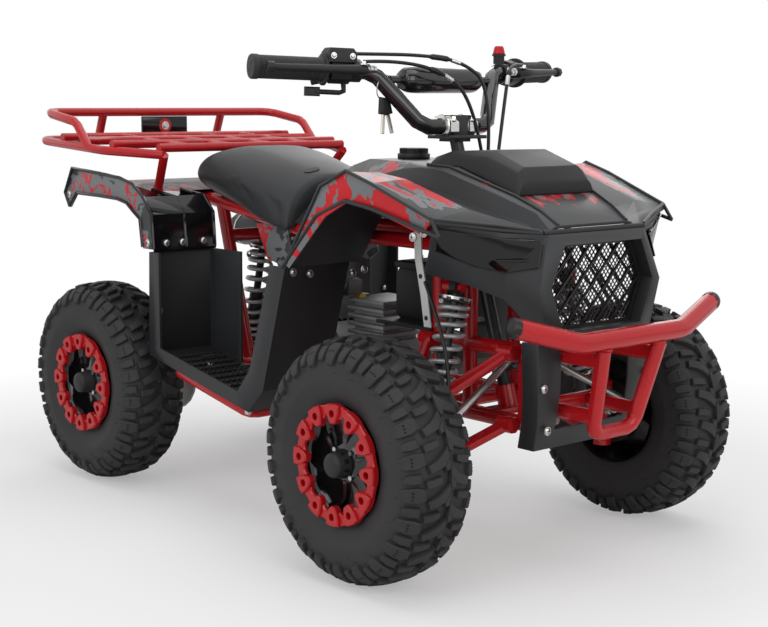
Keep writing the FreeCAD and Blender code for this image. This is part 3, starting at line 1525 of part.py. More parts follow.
def cowl():
    """The raised cover in front of the steering column, and the round fuel cap behind it."""
    length = d.cowl_rear + d.cowl_front
    table = list(cowl_shares)
    for row in hood_rows():
        place = float((row[-1][0] + d.cowl_rear) / length)
        for (near, rise_a, wide_a), (far, rise_b, wide_b) in zip(cowl_shares, cowl_shares[1:]):
            if near < place < far:
                share = (place - near) / (far - near)
                table.append((place, rise_a + (rise_b - rise_a) * share, wide_a + (wide_b - wide_a) * share))
    sections = []
    for place, top_rise, wide in sorted(table):
        x = -d.cowl_rear + length * place
        foot = hood_top(x) + d.seat_gap
        top = d.hood_height + (d.cowl_height - d.hood_height) * top_rise
        shoulder = foot + (top - foot) * cowl_shoulder_share
        right = [(x, d.cowl_half, foot), (x, d.cowl_half * (1 + wide) * half, shoulder), (x, d.cowl_half * wide, top)]
        sections.append(both_sides(right))
    publish(facet_loft("cowl", sections), "cowl")
    cap_x = -d.fuel_cap_set
    foot = hood_top(cap_x) + d.seat_gap
    rim = flat_bar("fuel_cap_rim", (cap_x, 0, foot), (cap_x, 0, foot + d.fuel_cap_height * half), d.fuel_cap_radius,
                   d.disc_sides)
    knob = flat_bar("fuel_cap_knob", (cap_x, 0, foot), (cap_x, 0, foot + d.fuel_cap_height),
                    d.fuel_cap_radius - d.skin, d.disc_sides)
    publish(fuse("fuel_cap", [rim, knob]), "fuel_cap")


cowl_shoulder_share = 0.8
cowl_shares = ((0, 0.55, 0.7), (0.12, 0.83, 0.68), (0.6, 0.96, 0.66), (0.93, 0.1, 0.7), (1, -0.75, 0.8))


def seat():
    """A saddle drawn through five cross-sections, from its nose to its raised tail."""
    sections = []
    rail_top = d.frame_tube_radius * corner_share + d.seat_gap
    for along, rise, shares in zip(seat_along_shares, seat_top_shares, seat_section_shares):
        x = -d.seat_front + (d.seat_front - d.seat_rear) * along
        top = d.seat_front_top + (d.seat_top - d.seat_front_top) * rise
        foot = seat_rail_height(x) + rail_top
        right = [(x, -d.seat_half * wide, foot + (top - foot) * high) for wide, high in shares]
        sections.append(right + [(x, -y, z) for x, y, z in reversed(right)])
    publish(facet_loft("seat", sections), "seat")


seat_along_shares = (0, 0.24, 0.55, 0.85, 1)
seat_top_shares = (0, 0.44, 0.82, 1, 0.3)
seat_section_shares = (
    ((0.69, 0), (0.8, -0.36), (0.8, 0), (0.55, 0.7), (0.2, 1)),
    ((0.69, 0), (0.85, -0.28), (0.88, 0.2), (0.66, 0.8), (0.28, 1)),
    ((0.69, 0), (0.9, -0.05), (0.97, 0.45), (0.78, 0.88), (0.3, 1)),
    ((0.69, 0), (0.92, 0.2), (1.0, 0.5), (0.9, 0.9), (0.4, 1)),
    ((0.69, 0), (0.82, 0.5), (0.95, 0.7), (0.84, 0.95), (0.4, 1)),
)


def deck_height(x):
    """The rear deck lies on the seat rails, and runs on level behind them."""
    end = -d.seat_rail_rear - d.frame_tube_radius
    at = x if float(x) > float(end) else end
    return seat_rail_height(at) + d.frame_tube_radius * corner_share + d.seat_gap + d.skin


def rear_fender():
    """Two arched side skins joined behind the seat by a deck, with a band down each outer side."""
    inner, middle, outer = d.seat_half + d.skin, d.rack_front_half + d.skin, d.fender_half
    rows = []
    for back, rise, on_deck in tail_row_shares:
        x = -d.tail_front - (d.tail_rear - d.tail_front) * back
        z = d.tail_foot_height + (d.tail_height - d.tail_foot_height) * rise
        level = deck_height(x) - d.fender_band * (1 - on_deck) if on_deck else z
        rows.append([(x, outer, z), (x, middle, level), (x, inner, level)])
    wall = (0, 0, -d.skin)
    behind = rows[tail_deck_row:]
    shapes = [skin_loft("tail_deck", [both_sides(row) for row in behind], wall)]
    for side, sign in (("right", -1), ("left", 1)):
        half_rows = [[(x, y * sign, z) for x, y, z in row] for row in rows[:tail_deck_row + 1]]
        shapes.append(skin_loft(f"tail_side_{side}", half_rows, (-d.skin * half, 0, -d.skin)))
        band = []
        for row, (back, drop) in zip(rows, tail_band_shares):
            x, y, z = row[0]
            band.append([(x, y * sign, z), (x - d.fender_band * back, y * sign, z - d.fender_band * drop)])
        shapes.append(skin_loft(f"tail_band_{side}", band, (0, -d.skin * sign, 0)))
    publish(fuse("rear_fender", shapes), "rear_fender")


tail_row_shares = (
    (0, 0, 0), (0.015, 0.48, 0), (0.11, 0.71, 0), (0.218, 0.87, 1), (0.354, 0.94, 1), (0.59, 0.98, 1),
    (0.908, 1.03, 1), (1, 0.66, 0.6),
)
tail_deck_row = 4
tail_band_shares = (
    (0.7, 0), (0.76, 0.2), (0.62, 0.55), (0.4, 0.68), (0.2, 0.74), (0, 0.8), (-0.25, 0.9), (-0.3, 0.5),
)


def footwell_floor_height(x):
    """The footwell's floor slopes down towards the front."""
    slope = (d.footwell_floor_rear - d.footwell_floor_front) / (d.footwell_rear + d.skin - d.footwell_front)
    return d.footwell_floor_front + (-d.footwell_front - x) * slope


def footwell(name, sign):
    """A moulded tub: front slope, floor, rear wall, an outer rim and an inner wall by the engine."""
    outer, inner = d.footwell_half * sign, d.footwell_inner_half * sign
    y_low, y_high = (outer, inner) if sign < 0 else (inner, outer)
    rear, front, deep = -d.footwell_rear, -d.footwell_front, d.skin
    low, high = d.footwell_floor_front, d.footwell_floor_rear
    top_front = (-d.fender_rear_set, d.fender_rear_height - d.skin - d.seat_gap)
    knee = (front + d.fender_band * footwell_knee_share, low + d.fender_band * footwell_knee_share)
    top_rear = d.tail_foot_height - d.skin - d.seat_gap
    under = [(rear, top_rear), (rear - deep, high), (front, low), knee, top_front]
    over = [(top_front[0] - deep, top_front[1]), (knee[0] - deep, knee[1] + deep), (front - deep, low + deep),
            (rear + deep * half, high + deep), (rear + deep, top_rear)]
    tub = new_body(name + "_tub")
    sketch = outline(tub, name + "_line", "XZ_Plane", under + over, set_off=-(y_low + y_high) * half)
    pad(tub, sketch, y_high - y_low, middle=True)
    lip = d.footwell_lip
    rim = [(top_front[0] - lip * 1.3, top_front[1]), (knee[0] - lip * 1.2, knee[1] + lip), (front - lip, low + lip),
           (rear + lip, high + lip * half), (rear + lip, top_rear)]
    shapes = [tub, panel(name + "_rim", under + rim, outer - deep * half * sign, deep)]
    stop = rear + (d.footwell_rear - d.footwell_front) * footwell_wall_share
    wall = [(rear, top_rear), (rear, high), (stop, footwell_floor_height(stop)), (stop, top_rear)]
    shapes.append(panel(name + "_wall", wall, inner + deep * half * sign, deep))
    for index, share in enumerate(footwell_rib_shares):
        x = rear + (d.footwell_rear - d.footwell_front) * share
        z = footwell_floor_height(x)
        wide = d.skin * half
        shapes.append(block(f"{name}_rib_{index}", (x - wide, y_low, z), (x + wide, y_high, z + deep * 1.6)))
    publish(fuse(name, shapes), name)


footwell_knee_share = 0.8
footwell_wall_share = 0.33
footwell_rib_shares = (0.28, 0.4, 0.52, 0.64, 0.76, 0.88)


def side_panels():
    """Trim panels under the saddle's nose, against the outer faces of the seat rails."""
    panels = []
    y = d.frame_half_width + d.frame_tube_radius + d.seat_gap + d.skin * half
    corners = []
    for back, rise in side_panel_shares:
        x = -d.seat_front - (d.footwell_rear - d.seat_front) * back
        corners.append((x, d.engine_top + (d.tank_rail_height - d.engine_top) * rise))
    for side, sign in (("right", -1), ("left", 1)):
        panels.append(panel(f"side_panel_{side}", corners, y * sign, d.skin))
    publish(gather("side_panels", panels), "side_panels")


side_panel_shares = ((0.05, 0.55), (0.2, 0.4), (0.45, 0.5), (0.62, 1.03), (0.14, 1.03))


def tail_panel():
    """The plate that hangs from the rack's guard at the rear."""
    top = d.guard_height - d.rack_tube_radius * corner_share - d.seat_gap
    low = d.rack_rear_height + d.rack_tube_radius
    x = -d.guard_rear
    plate = block("tail_plate", (x - d.skin * half, -d.tail_panel_half, low), (x + d.skin * half, d.tail_panel_half, top))
    publish(gather("tail_panel", [plate]), "tail_panel")


# Engine
# Crankcase and cylinder in the real place, with the exhaust pipe, silencer and chain.

def engine():
    """Crankcase, finned cylinder, starter cover and output sprocket, as one piece."""
    foot = d.lower_rail_height + d.frame_tube_radius + d.seat_gap
    front, rear, wide, case = -d.engine_front, -d.engine_rear, d.engine_half, d.engine_case_top
    half_bore = d.engine_cylinder
    middle = front - half_bore - d.skin * 2
    bore_block = block("cylinder", (middle - half_bore, -half_bore, case - d.skin), (middle + half_bore, half_bore, d.engine_top))
    shapes = [block("crankcase", (rear, -wide, foot), (front, wide, case)), bore_block]
    pitch = (d.engine_top - case) / d.engine_fins
    reach = half_bore + d.skin * 2
    for index in range(int(float(d.engine_fins))):
        z = case + pitch * (index + half)
        low, high = (middle - reach, -reach, z), (middle + reach, reach, z + pitch * half)
        shapes.append(block(f"fin_{index}", low, high))
    cover_x, cover_z = (front + rear) * half, foot + d.engine_cover_radius
    shapes.append(flat_bar("starter_cover", (cover_x, -wide, cover_z), (cover_x, -wide - d.skin * 3, cover_z),
                           d.engine_cover_radius, d.disc_sides))
    x, z = drive_sprocket()
    plate_in, plate_out = d.sprocket_set - d.disc_thickness * half, d.sprocket_set + d.disc_thickness * half
    shapes.append(flat_bar("output_shaft", (x, wide, z), (x, plate_out, z), d.chain_sprocket_radius * half))
    shapes.append(flat_bar("output_sprocket", (x, plate_in, z), (x, plate_out, z), d.chain_sprocket_radius, d.bore_sides))
    publish(fuse("engine", shapes), "engine")
    inside = d.frame_half_width * half
    port = (rear - d.seat_gap, inside, case - d.pipe_radius * 2)
    start = (-d.muffler_front, d.muffler_half, d.muffler_height)
    end = (-d.muffler_rear, d.muffler_half, d.muffler_height)
    run = d.muffler_front - d.engine_rear
    first, second = exhaust_bend_shares
    route_points = [
        port,
        (rear - run * first, inside, case - d.pipe_radius * 2),
        (rear - run * second, inside, d.muffler_height - d.pipe_radius),
        start,
    ]
    pipe = tube("exhaust_pipe", route_points, d.pipe_radius, d.pipe_radius * 2)
    can = flat_bar("silencer", start, end, d.muffler_radius, d.rim_flats)
    publish(fuse("exhaust", [pipe, can]), "exhaust")


exhaust_bend_shares = (0.3, 0.77)


def drive_sprocket():
    """The middle of the engine's output sprocket."""
    return -d.engine_rear + d.chain_sprocket_radius * 2, d.engine_case_top - d.chain_sprocket_radius


def drive_chain():
    """The chain as one closed band round both sprockets, drawn in flats."""
    x, z = drive_sprocket()
    far_x, far_z = -d.wheelbase, d.wheel_radius
    slope = math.degrees(math.atan2(float(z - far_z), float(x - far_x)))
    arcs = ((x, z, d.chain_sprocket_radius, d.bore_sides), (far_x, far_z, d.sprocket_radius, d.disc_sides))
    steps = int(float(d.tube_sides))
    sections = []
    for index, (mid_x, mid_z, radius, sides) in enumerate(arcs):
        corner = radius * (1 / math.cos(math.pi / float(sides)))
        inner = (corner + d.seat_gap) * (1 / math.cos(math.pi * half / steps))
        outer = inner + d.chain_height
        for step in range(steps + 1):
            angle = math.radians(slope + 90 - 180 * step / steps - 180 * index)
            across, up = math.cos(angle), math.sin(angle)
            low_y, high_y = d.sprocket_set - d.chain_width * half, d.sprocket_set + d.chain_width * half
            sections.append([
                (mid_x + inner * across, low_y, mid_z + inner * up),
                (mid_x + outer * across, low_y, mid_z + outer * up),
                (mid_x + outer * across, high_y, mid_z + outer * up),
                (mid_x + inner * across, high_y, mid_z + inner * up),
            ])
    publish(facet_loft("drive_chain", sections, closed=True), "drive_chain")


def build():
    wheels()
    whole_frame()
    a_arms()
    for name, sign in (("right", -1), ("left", 1)):
        knuckle(f"knuckle_{name}", sign)
        tie_rod(f"tie_rod_{name}", sign)
        brake_cable(f"brake_cable_{name}", sign)
        footwell(f"footwell_{name}", sign)
    steering_column()
    handlebar()
    hand_controls()
    control_cables()
    rear_axle()
    swingarm()
    shocks()
    bumper()
    rack()
    front_fender()
    mask()
    headlights()
    chin_plate()
    cowl()
    seat()
    rear_fender()
    side_panels()
    tail_panel()
    engine()
    drive_chain()
    doc.recompute()


def check_and_write():
    broken = [thing.Name for thing in doc.Objects if "Invalid" in thing.State or "Error" in thing.State]
    if broken:
        raise RuntimeError(f"failed features: {broken}")
    os.makedirs("parts", exist_ok=True)
    for piece in pieces:
        if piece.Shape.isNull() or not piece.Shape.isValid() or not piece.Shape.Solids:
            raise RuntimeError(f"{piece.Label} is not a valid solid")
    for piece in pieces:
        piece.Shape.exportStep(os.path.join("parts", piece.Label + ".step"))


build()
check_and_write()
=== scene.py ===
import math
import random

import bmesh
import bpy
import numpy as np
from mathutils import Matrix, Vector, noise
from mathutils.bvhtree import BVHTree


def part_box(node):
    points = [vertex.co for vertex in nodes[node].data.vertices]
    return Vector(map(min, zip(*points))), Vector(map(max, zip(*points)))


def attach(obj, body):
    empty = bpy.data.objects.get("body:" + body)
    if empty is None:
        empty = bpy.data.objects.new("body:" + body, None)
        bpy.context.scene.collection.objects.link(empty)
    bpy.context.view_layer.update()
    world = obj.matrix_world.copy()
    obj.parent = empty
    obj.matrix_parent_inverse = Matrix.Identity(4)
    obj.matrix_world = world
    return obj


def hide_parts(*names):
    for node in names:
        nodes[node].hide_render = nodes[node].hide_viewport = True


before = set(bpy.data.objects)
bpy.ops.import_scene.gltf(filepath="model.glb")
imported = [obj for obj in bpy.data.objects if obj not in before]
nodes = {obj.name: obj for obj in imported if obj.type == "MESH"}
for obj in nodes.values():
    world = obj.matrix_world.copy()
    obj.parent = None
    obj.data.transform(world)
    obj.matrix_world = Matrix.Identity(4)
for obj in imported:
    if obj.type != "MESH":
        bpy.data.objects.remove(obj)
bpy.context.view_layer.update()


# Photographer's view
# The camera stands at the right front corner, a little above the rack, where the photograph
# was taken from. The front axle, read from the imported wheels, is the place everything hangs on.

def middle_of(node):
    low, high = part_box(node)
    return (low + high) / 2


front_axle = middle_of("tyre_front_right").x


def on_bike(ahead, left, up):
    """A place in millimetres ahead of the front axle, left of the middle and above the floor."""
    return Vector((front_axle + ahead / 1000, left / 1000, up / 1000))


camera = bpy.data.objects.new("camera", bpy.data.cameras.new("camera"))
camera.data.sensor_width = 36.0
camera.data.lens = 71.43
camera_yaw, camera_pitch, camera_roll = math.radians(138.76), math.radians(-8.127), math.radians(0.297)
ahead = Vector((math.cos(camera_pitch) * math.cos(camera_yaw), math.cos(camera_pitch) * math.sin(camera_yaw),
                math.sin(camera_pitch)))
level = ahead.cross(Vector((0, 0, 1))).normalized()
upward = level.cross(ahead)
right = level * math.cos(camera_roll) + upward * math.sin(camera_roll)
upward = upward * math.cos(camera_roll) - level * math.sin(camera_roll)
turn = Matrix((right, upward, -ahead)).transposed().to_4x4()
camera.matrix_world = Matrix.Translation(on_bike(1486.4, -1540.4, 637.8)) @ turn
bpy.context.scene.collection.objects.link(camera)
bpy.context.scene.camera = camera


# Studio
# A pale sweep under and behind the bike, lit by large soft boxes: one overhead, one from the
# camera's side, one from the front and a weaker one behind.

def paint(name):
    """A new material, with its node tree and its surface shader."""
    material = bpy.data.materials.new(name)
    material.use_nodes = True
    return material, material.node_tree, material.node_tree.nodes["Principled BSDF"]


def set_inputs(node, values):
    """Give a shader node's inputs their values, by name or by number."""
    for socket, value in values.items():
        node.inputs[socket].default_value = value


def add(tree, kind, values=None, **settings):
    """A shader node of one kind, with its settings and its inputs' values."""
    node = tree.nodes.new("ShaderNode" + kind)
    for name, value in settings.items():
        setattr(node, name, value)
    set_inputs(node, values or {})
    return node


def wire(tree, *runs):
    """Join shader nodes, each run given as node, output, node, input."""
    for start, output, end, entry in runs:
        tree.links.new(start.outputs[output], end.inputs[entry])


white = (1, 1, 1, 1)
world = bpy.data.worlds.new("studio_air")
world.use_nodes = True
bpy.context.scene.world = world
air = world.node_tree
ambient = air.nodes["Background"]
set_inputs(ambient, {"Color": white, "Strength": 0.38})
seen = add(air, "Background", {"Color": white, "Strength": 1.0})
path = add(air, "LightPath")
either = add(air, "Math", operation="MAXIMUM")
clear = add(air, "Math", operation="MAXIMUM")
pick = add(air, "MixShader")
wire(air, (path, "Is Camera Ray", either, 0), (path, "Is Glossy Ray", either, 1),
     (path, "Is Transmission Ray", clear, 1), (either, 0, clear, 0), (clear, 0, pick, 0),
     (ambient, 0, pick, 1), (seen, 0, pick, 2), (pick, 0, air.nodes["World Output"], "Surface"))

# The floor shows its own paint and the shadow near the bike, and fades to the white of the air.
floor_mesh = bmesh.new()
bmesh.ops.create_grid(floor_mesh, x_segments=8, y_segments=8, size=9.0)
floor_data = bpy.data.meshes.new("studio_floor")
floor_mesh.to_mesh(floor_data)
floor_mesh.free()
floor = bpy.data.objects.new("studio_floor", floor_data)
bpy.context.scene.collection.objects.link(floor)
floor_paint, tree, pale = paint("studio_floor")
set_inputs(pale, {"Base Color": (0.94, 0.94, 0.94, 1), "Roughness": 0.9})
glow = add(tree, "Emission", {"Color": white, "Strength": 1.0})
ray = add(tree, "LightPath")
place = add(tree, "TexCoord")
reach = add(tree, "VectorMath", operation="LENGTH")
fade = add(tree, "MapRange", {"From Min": 0.75, "From Max": 1.35, "To Min": 0.35})
seen_share = add(tree, "Math", operation="MULTIPLY")
blend = add(tree, "MixShader")
wire(tree, (place, "Object", reach, 0), (reach, "Value", fade, "Value"),
     (ray, "Is Camera Ray", seen_share, 0), (fade, "Result", seen_share, 1), (seen_share, 0, blend, 0),
     (pale, 0, blend, 1), (glow, 0, blend, 2), (blend, 0, tree.nodes["Material Output"], "Surface"))
floor.data.materials.append(floor_paint)

soft_boxes = (
    ("overhead", (0.1, 0.0, 2.6), (0.0, 0.0, 0.3), 2.6, 26),
    ("camera_side", (0.6, -2.6, 1.5), (0.0, 0.0, 0.35), 2.0, 21),
    ("front", (2.9, -0.2, 1.3), (0.2, 0.0, 0.35), 1.6, 17),
    ("behind", (-1.6, 2.2, 1.7), (0.0, 0.0, 0.4), 1.6, 13),
)
for name, place, target, size, power in soft_boxes:
    lamp = bpy.data.lights.new("lamp_" + name, "AREA")
    lamp.shape = "SQUARE"
    lamp.size = size
    lamp.energy = power
    holder = bpy.data.objects.new("lamp_" + name, lamp)
    holder.location = place
    holder.rotation_euler = (Vector(target) - Vector(place)).to_track_quat("-Z", "Y").to_euler()
    bpy.context.scene.collection.objects.link(holder)

bpy.context.scene.view_settings.view_transform = "Standard"


# Tyres
# Four alike knobbly tyres of black rubber: a smooth round sidewall with moulded ribs, a zigzag
# spine of curved lugs down the middle, blocks over each shoulder and the moulding hairs left on.

def natural(name, colour, roughness, metallic=0.0, coat=0.0, mottle=0.1, grain=700, depth=0.0003, patch=9):
    """A finish with a little unevenness of colour and gloss, and a fine grain that the light catches."""
    material, tree, surface = paint(name)
    set_inputs(surface, {"Metallic": metallic, "Specular IOR Level": 0.3, "Coat Weight": coat,
                         "Coat Roughness": 0.06})
    place = add(tree, "TexCoord")
    cloud = add(tree, "TexNoise", {"Scale": patch, "Detail": 5.0})
    tone = add(tree, "ValToRGB")
    for element, share, strength in zip(tone.color_ramp.elements, (0.3, 0.7), (1 - mottle, 1 + mottle)):
        element.position = share
        element.color = (*(min(1, channel * strength) for channel in colour), 1)
    fine = add(tree, "TexNoise", {"Scale": grain, "Detail": 3.0})
    gloss = add(tree, "MapRange", {"To Min": max(0.02, roughness - 0.06), "To Max": min(1, roughness + 0.06)})
    relief = add(tree, "Bump", {"Distance": depth, "Strength": 0.6})
    wire(tree, (place, "Object", cloud, "Vector"), (place, "Object", fine, "Vector"),
         (cloud, "Fac", tone, "Fac"), (tone, "Color", surface, "Base Color"),
         (cloud, "Fac", gloss, "Value"), (gloss, "Result", surface, "Roughness"),
         (fine, "Fac", relief, "Height"), (relief, "Normal", surface, "Normal"))
    return material


def made(name, parts, finishes, body, crease=38):
    """One piece from parts of points and faces, each with its finish, creased where it turns sharply."""
    points, faces, picks = [], [], []
    for spots, sides, *finish in parts:
        faces.extend([len(points) + corner for corner in side] for side in sides)
        picks.extend((finish or [0]) * len(sides))
        points.extend(Vector(spot) for spot in spots)
    data = bpy.data.meshes.new(name)
    data.from_pydata(points, [], faces)
    shape = bmesh.new()
    shape.from_mesh(data)
    bmesh.ops.recalc_face_normals(shape, faces=shape.faces)
    for edge in shape.edges:
        if len(edge.link_faces) == 2 and edge.calc_face_angle(0) > math.radians(crease):
            edge.smooth = False
    for side in shape.faces:
        side.smooth = True
    shape.to_mesh(data)
    shape.free()
    for finish in finishes:
        data.materials.append(finish)
    data.polygons.foreach_set("material_index", picks)
    piece = bpy.data.objects.new(name, data)
    bpy.context.scene.collection.objects.link(piece)
    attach(piece, body)
    return piece


def walls(count, rings):
    """Faces between rings of so many points each, every ring closed on itself."""
    return [(ring * count + index, ring * count + (index + 1) % count,
             (ring + 1) * count + (index + 1) % count, (ring + 1) * count + index)
            for ring in range(rings - 1) for index in range(count)]


def turned(profile, steps, closed=False):
    """A shape turned about the wheel's own axle, from its (across, radius) profile in millimetres."""
    points, faces = [], []
    for step in range(steps):
        angle = 2 * math.pi * step / steps
        for across, radius in profile:
            points.append((radius * math.sin(angle) / 1000, across / 1000, radius * math.cos(angle) / 1000))
    count = len(profile)
    for step in range(steps):
        after = (step + 1) % steps
        for index in range(count if closed else count - 1):
            follow = (index + 1) % count
            faces.append((step * count + index, step * count + follow,
                          after * count + follow, after * count + index))
    return points, faces


rubber = natural("tyre_rubber", (0.028, 0.028, 0.03), 0.62, mottle=0.16, grain=520, depth=0.0005, patch=14)

tyre_half_profile = ((0, 157), (14, 156.6), (27, 155), (37, 152.2), (44.5, 147), (49.5, 140), (52.4, 131),
                     (53.6, 120), (52.8, 107), (49, 94), (45, 86), (43, 79))
tread_pitches = 22
pitch_length = 46


def tyre_line(samples):
    """The line from the middle of the tread to the bead, evenly spaced, with its outward normals."""
    rough = np.array(tyre_half_profile, float)
    lengths = np.concatenate(([0], np.cumsum(np.linalg.norm(np.diff(rough, axis=0), axis=1))))
    even = np.linspace(0, lengths[-1], samples)
    line = np.stack([np.interp(even, lengths, rough[:, axis]) for axis in (0, 1)], axis=1)
    for _ in range(3):
        line[1:-1] = (line[:-2] + 2 * line[1:-1] + line[2:]) / 4
    along = np.gradient(line, axis=0)
    along /= np.linalg.norm(along, axis=1)[:, None]
    return line, np.stack([-along[:, 1], along[:, 0]], axis=1)


tread_line, tread_normals = tyre_line(120)
sample_length = 1.02


def tread_spot(pitch_place, down, side, lift):
    """A point on the tread, from its place in pitches, its way down in millimetres and its lift."""
    step = min(len(tread_line) - 1, down / sample_length)
    low = int(step)
    high = min(low + 1, len(tread_line) - 1)
    share = step - low
    spot = tread_line[low] * (1 - share) + tread_line[high] * share
    out = tread_normals[low] * (1 - share) + tread_normals[high] * share
    across, radius = spot + out * lift
    angle = 2 * math.pi * pitch_place / tread_pitches
    return radius * math.sin(angle) / 1000, across * side / 1000, radius * math.cos(angle) / 1000


def tread_lug(outline, start, side, height):
    """A lug with drafted sides and a small chamfer, whose outline is in (pitches, millimetres down)."""
    fine, longest = [], 9
    for (place, down), (next_place, next_down) in zip(outline, outline[1:] + outline[:1]):
        length = math.hypot((next_place - place) * pitch_length, next_down - down)
        pieces = max(1, round(length / longest))
        fine += [(place + (next_place - place) * piece / pieces, down + (next_down - down) * piece / pieces)
                 for piece in range(pieces)]
    count = len(fine)
    mid_place = sum(place for place, _ in fine) / count
    mid_down = sum(down for _, down in fine) / count
    rings = ((1.1, -1.0), (1.0, height - 1.0), (0.86, height))
    points = [tread_spot(start + mid_place + (place - mid_place) * spread,
                         abs(mid_down + (down - mid_down) * spread), side, lift)
              for spread, lift in rings for place, down in fine]
    points.append(tread_spot(start + mid_place, mid_down, side, height))
    top = (len(rings) - 1) * count
    fan = [(top + index, top + (index + 1) % count, top + count) for index in range(count)]
    return points, walls(count, len(rings)) + fan


def moulding_hair(root, tip):
    """A thin three-sided spike of rubber, as the vents of a mould leave."""
    across = (tip - root).orthogonal().normalized() * 0.0005
    other = (tip - root).normalized().cross(across)
    foot = [root + across, root - across * 0.5 + other * 0.87, root - across * 0.5 - other * 0.87]
    return foot + [tip], [(0, 1, 3), (1, 2, 3), (2, 0, 3)]


# The spine's lug and the bridge between two, the inner block, the shoulder lug and the side block,
# each with its outline and its height.
lugs = (
    ([(0.02, 0.5), (0.3, 0.5), (0.52, 9), (0.6, 19), (0.66, 29), (0.44, 32), (0.34, 21), (0.22, 12)], 7.8),
    ([(0.3, 0.2), (0.62, 0.2), (0.66, 6), (0.5, 9)], 7.4),
    ([(0.78, 14), (0.95, 13), (1.04, 24), (1.06, 34), (0.86, 36), (0.82, 25)], 7.2),
    ([(0.1, 37), (0.4, 35), (0.5, 43), (0.52, 58), (0.46, 66), (0.16, 66), (0.1, 57), (0.05, 45)], 6.2),
    ([(0.66, 41), (0.92, 40), (0.96, 50), (0.94, 60), (0.72, 61), (0.66, 52)], 5.2),
)


def tyre_parts():
    """The ribbed carcass, then all lugs and hairs, and pits drawn as near-black discs of painted shade, round
    the wheel's own middle.
    """
    ribbed = []
    for across, radius in [*tread_line[::5], tyre_half_profile[-1]]:
        rib = 1.1 if 84 < radius < 90 or 109 < radius < 113 else 0.0
        ribbed.append((across + rib, radius))
    profile = ribbed[::-1] + [(-across, radius) for across, radius in ribbed[1:]] + [(-38, 78), (38, 78)]
    parts = [turned(profile, 96, closed=True)]
    chance, hairy = random.Random(7), 0.55
    for pitch in range(tread_pitches):
        for side, shift in ((1, 0.0), (-1, 0.5)):
            start = pitch + shift
            parts += [tread_lug(outline, start, side, height) for outline, height in lugs]
            for place, down in ((0.3, 70), (0.8, 66), (0.28, 56), (0.55, 76)):
                if chance.random() < hairy:
                    root = tread_spot(start + place, down, side, -0.5)
                    sway, slip = chance.uniform(-0.05, 0.05), chance.uniform(-3, 3)
                    tip = tread_spot(start + place + sway, down + slip, side, chance.uniform(6, 10))
                    parts.append(moulding_hair(Vector(root), Vector(tip)))
            # Each pit is a flat near-black hexagon laid just above the shoulder lug's top: painted shade
            # standing in for a hollow.
            for place in (0.2, 0.3, 0.4):
                pit = [tread_spot(start + place + 0.028 * math.cos(turn), 50 + 1.4 * math.sin(turn),
                                  side, 6.3) for turn in np.linspace(0, 2 * math.pi, 7)[:-1]]
                parts.append((pit, [tuple(range(6))], 1))
    return parts


def set_on_wheel(piece, corner, side):
    """Turn a wheel's piece to face its side of the bike, and set it at its tyre's middle."""
    piece.data.transform(Matrix.Rotation(0 if side < 0 else math.pi, 4, "Z"))
    piece.data.transform(Matrix.Translation(middle_of("tyre_" + corner)))


# Near-black finish for the tread's pits: painted shade in place of their hollows.
pit_shadow = natural("tyre_pit_painted_shade", (0.004, 0.004, 0.004), 0.9)
tyre_shape = tyre_parts()
wheel_bodies = {
    "front_right": ("front_wheel_right", -1), "front_left": ("front_wheel_left", 1),
    "rear_right": ("rear_wheels", -1), "rear_left": ("rear_wheels", 1),
}
for corner, (body, side) in wheel_bodies.items():
    tyre = made("tread_" + corner, tyre_shape, [rubber, pit_shadow], body, crease=32)
    set_on_wheel(tyre, corner, side)
    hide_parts("tyre_" + corner)


# Wheels and their face rings
# Pressed steel wheels, dished and painted gloss black, with six curved ribs and a domed black
# hub cap. A red ring of twelve bolted blocks, joined by thinner links, is screwed to each face.

wheel_black = natural("wheel_black_paint", (0.008, 0.008, 0.009), 0.16, coat=0.6, mottle=0.2, grain=90,
                      depth=0.0001)
cap_black = natural("hub_cap_plastic", (0.015, 0.015, 0.016), 0.5, grain=900)
signal_red = natural("red_gloss_paint", (0.47, 0.008, 0.012), 0.26, coat=0.16, mottle=0.05, grain=160,
                     depth=0.0001)
bolt_steel = natural("zinc_bolt", (0.55, 0.55, 0.54), 0.3, metallic=1.0, mottle=0.1, grain=400, depth=0.0001)


def face_spot(angle, radius, across):
    return radius * math.sin(angle) / 1000, across / 1000, radius * math.cos(angle) / 1000


def ring_block(middle):
    """A raised block of the face ring, pierced by its bolt hole."""
    corners = ((-8.6, 80.4), (-3, 81.2), (3, 81.2), (8.6, 80.4), (9.2, 73), (8.4, 66), (6.4, 58.5),
               (3.2, 54.6), (-3.2, 54.6), (-6.4, 58.5), (-8.4, 66), (-9.2, 73))
    hole_radius, hole_at = 5.2, 68.5
    centre = np.array((hole_at * math.sin(middle), hole_at * math.cos(middle)))
    outline = []
    for degrees, radius in corners:
        angle = middle + math.radians(degrees)
        outline.append(np.array((radius * math.sin(angle), radius * math.cos(angle))) - centre)
    hole = [arm / np.linalg.norm(arm) * hole_radius for arm in outline]
    points = []
    for arms, spread, across in ((outline, 1.0, -47.4), (outline, 1.0, -56.0), (outline, 0.9, -58.0),
                                 (hole, 1.0, -58.0), (hole, 1.0, -49.0)):
        for arm in arms:
            wide, high = centre + arm * spread
            points.append((wide / 1000, across / 1000, high / 1000))
    count = len(corners)
    return points, walls(count, 5) + [tuple(range(4 * count, 5 * count))]


def ring_link(start, end, steps=5):
    """The thinner link between two blocks, chamfered on its outer edge and notched on the inner."""
    section = ((80.0, -47.4), (80.0, -52.0), (78.2, -53.4), (64, -53.4), (61.5, -51.5), (61.5, -47.4))
    points = []
    for step in range(steps + 1):
        angle = start + (end - start) * step / steps
        bow = math.sin(math.pi * step / steps)
        for index, (radius, across) in enumerate(section):
            points.append(face_spot(angle, radius + (bow * 4.0 if index > 2 else -bow * 1.2), across))
    return points, walls(len(section), steps + 1)


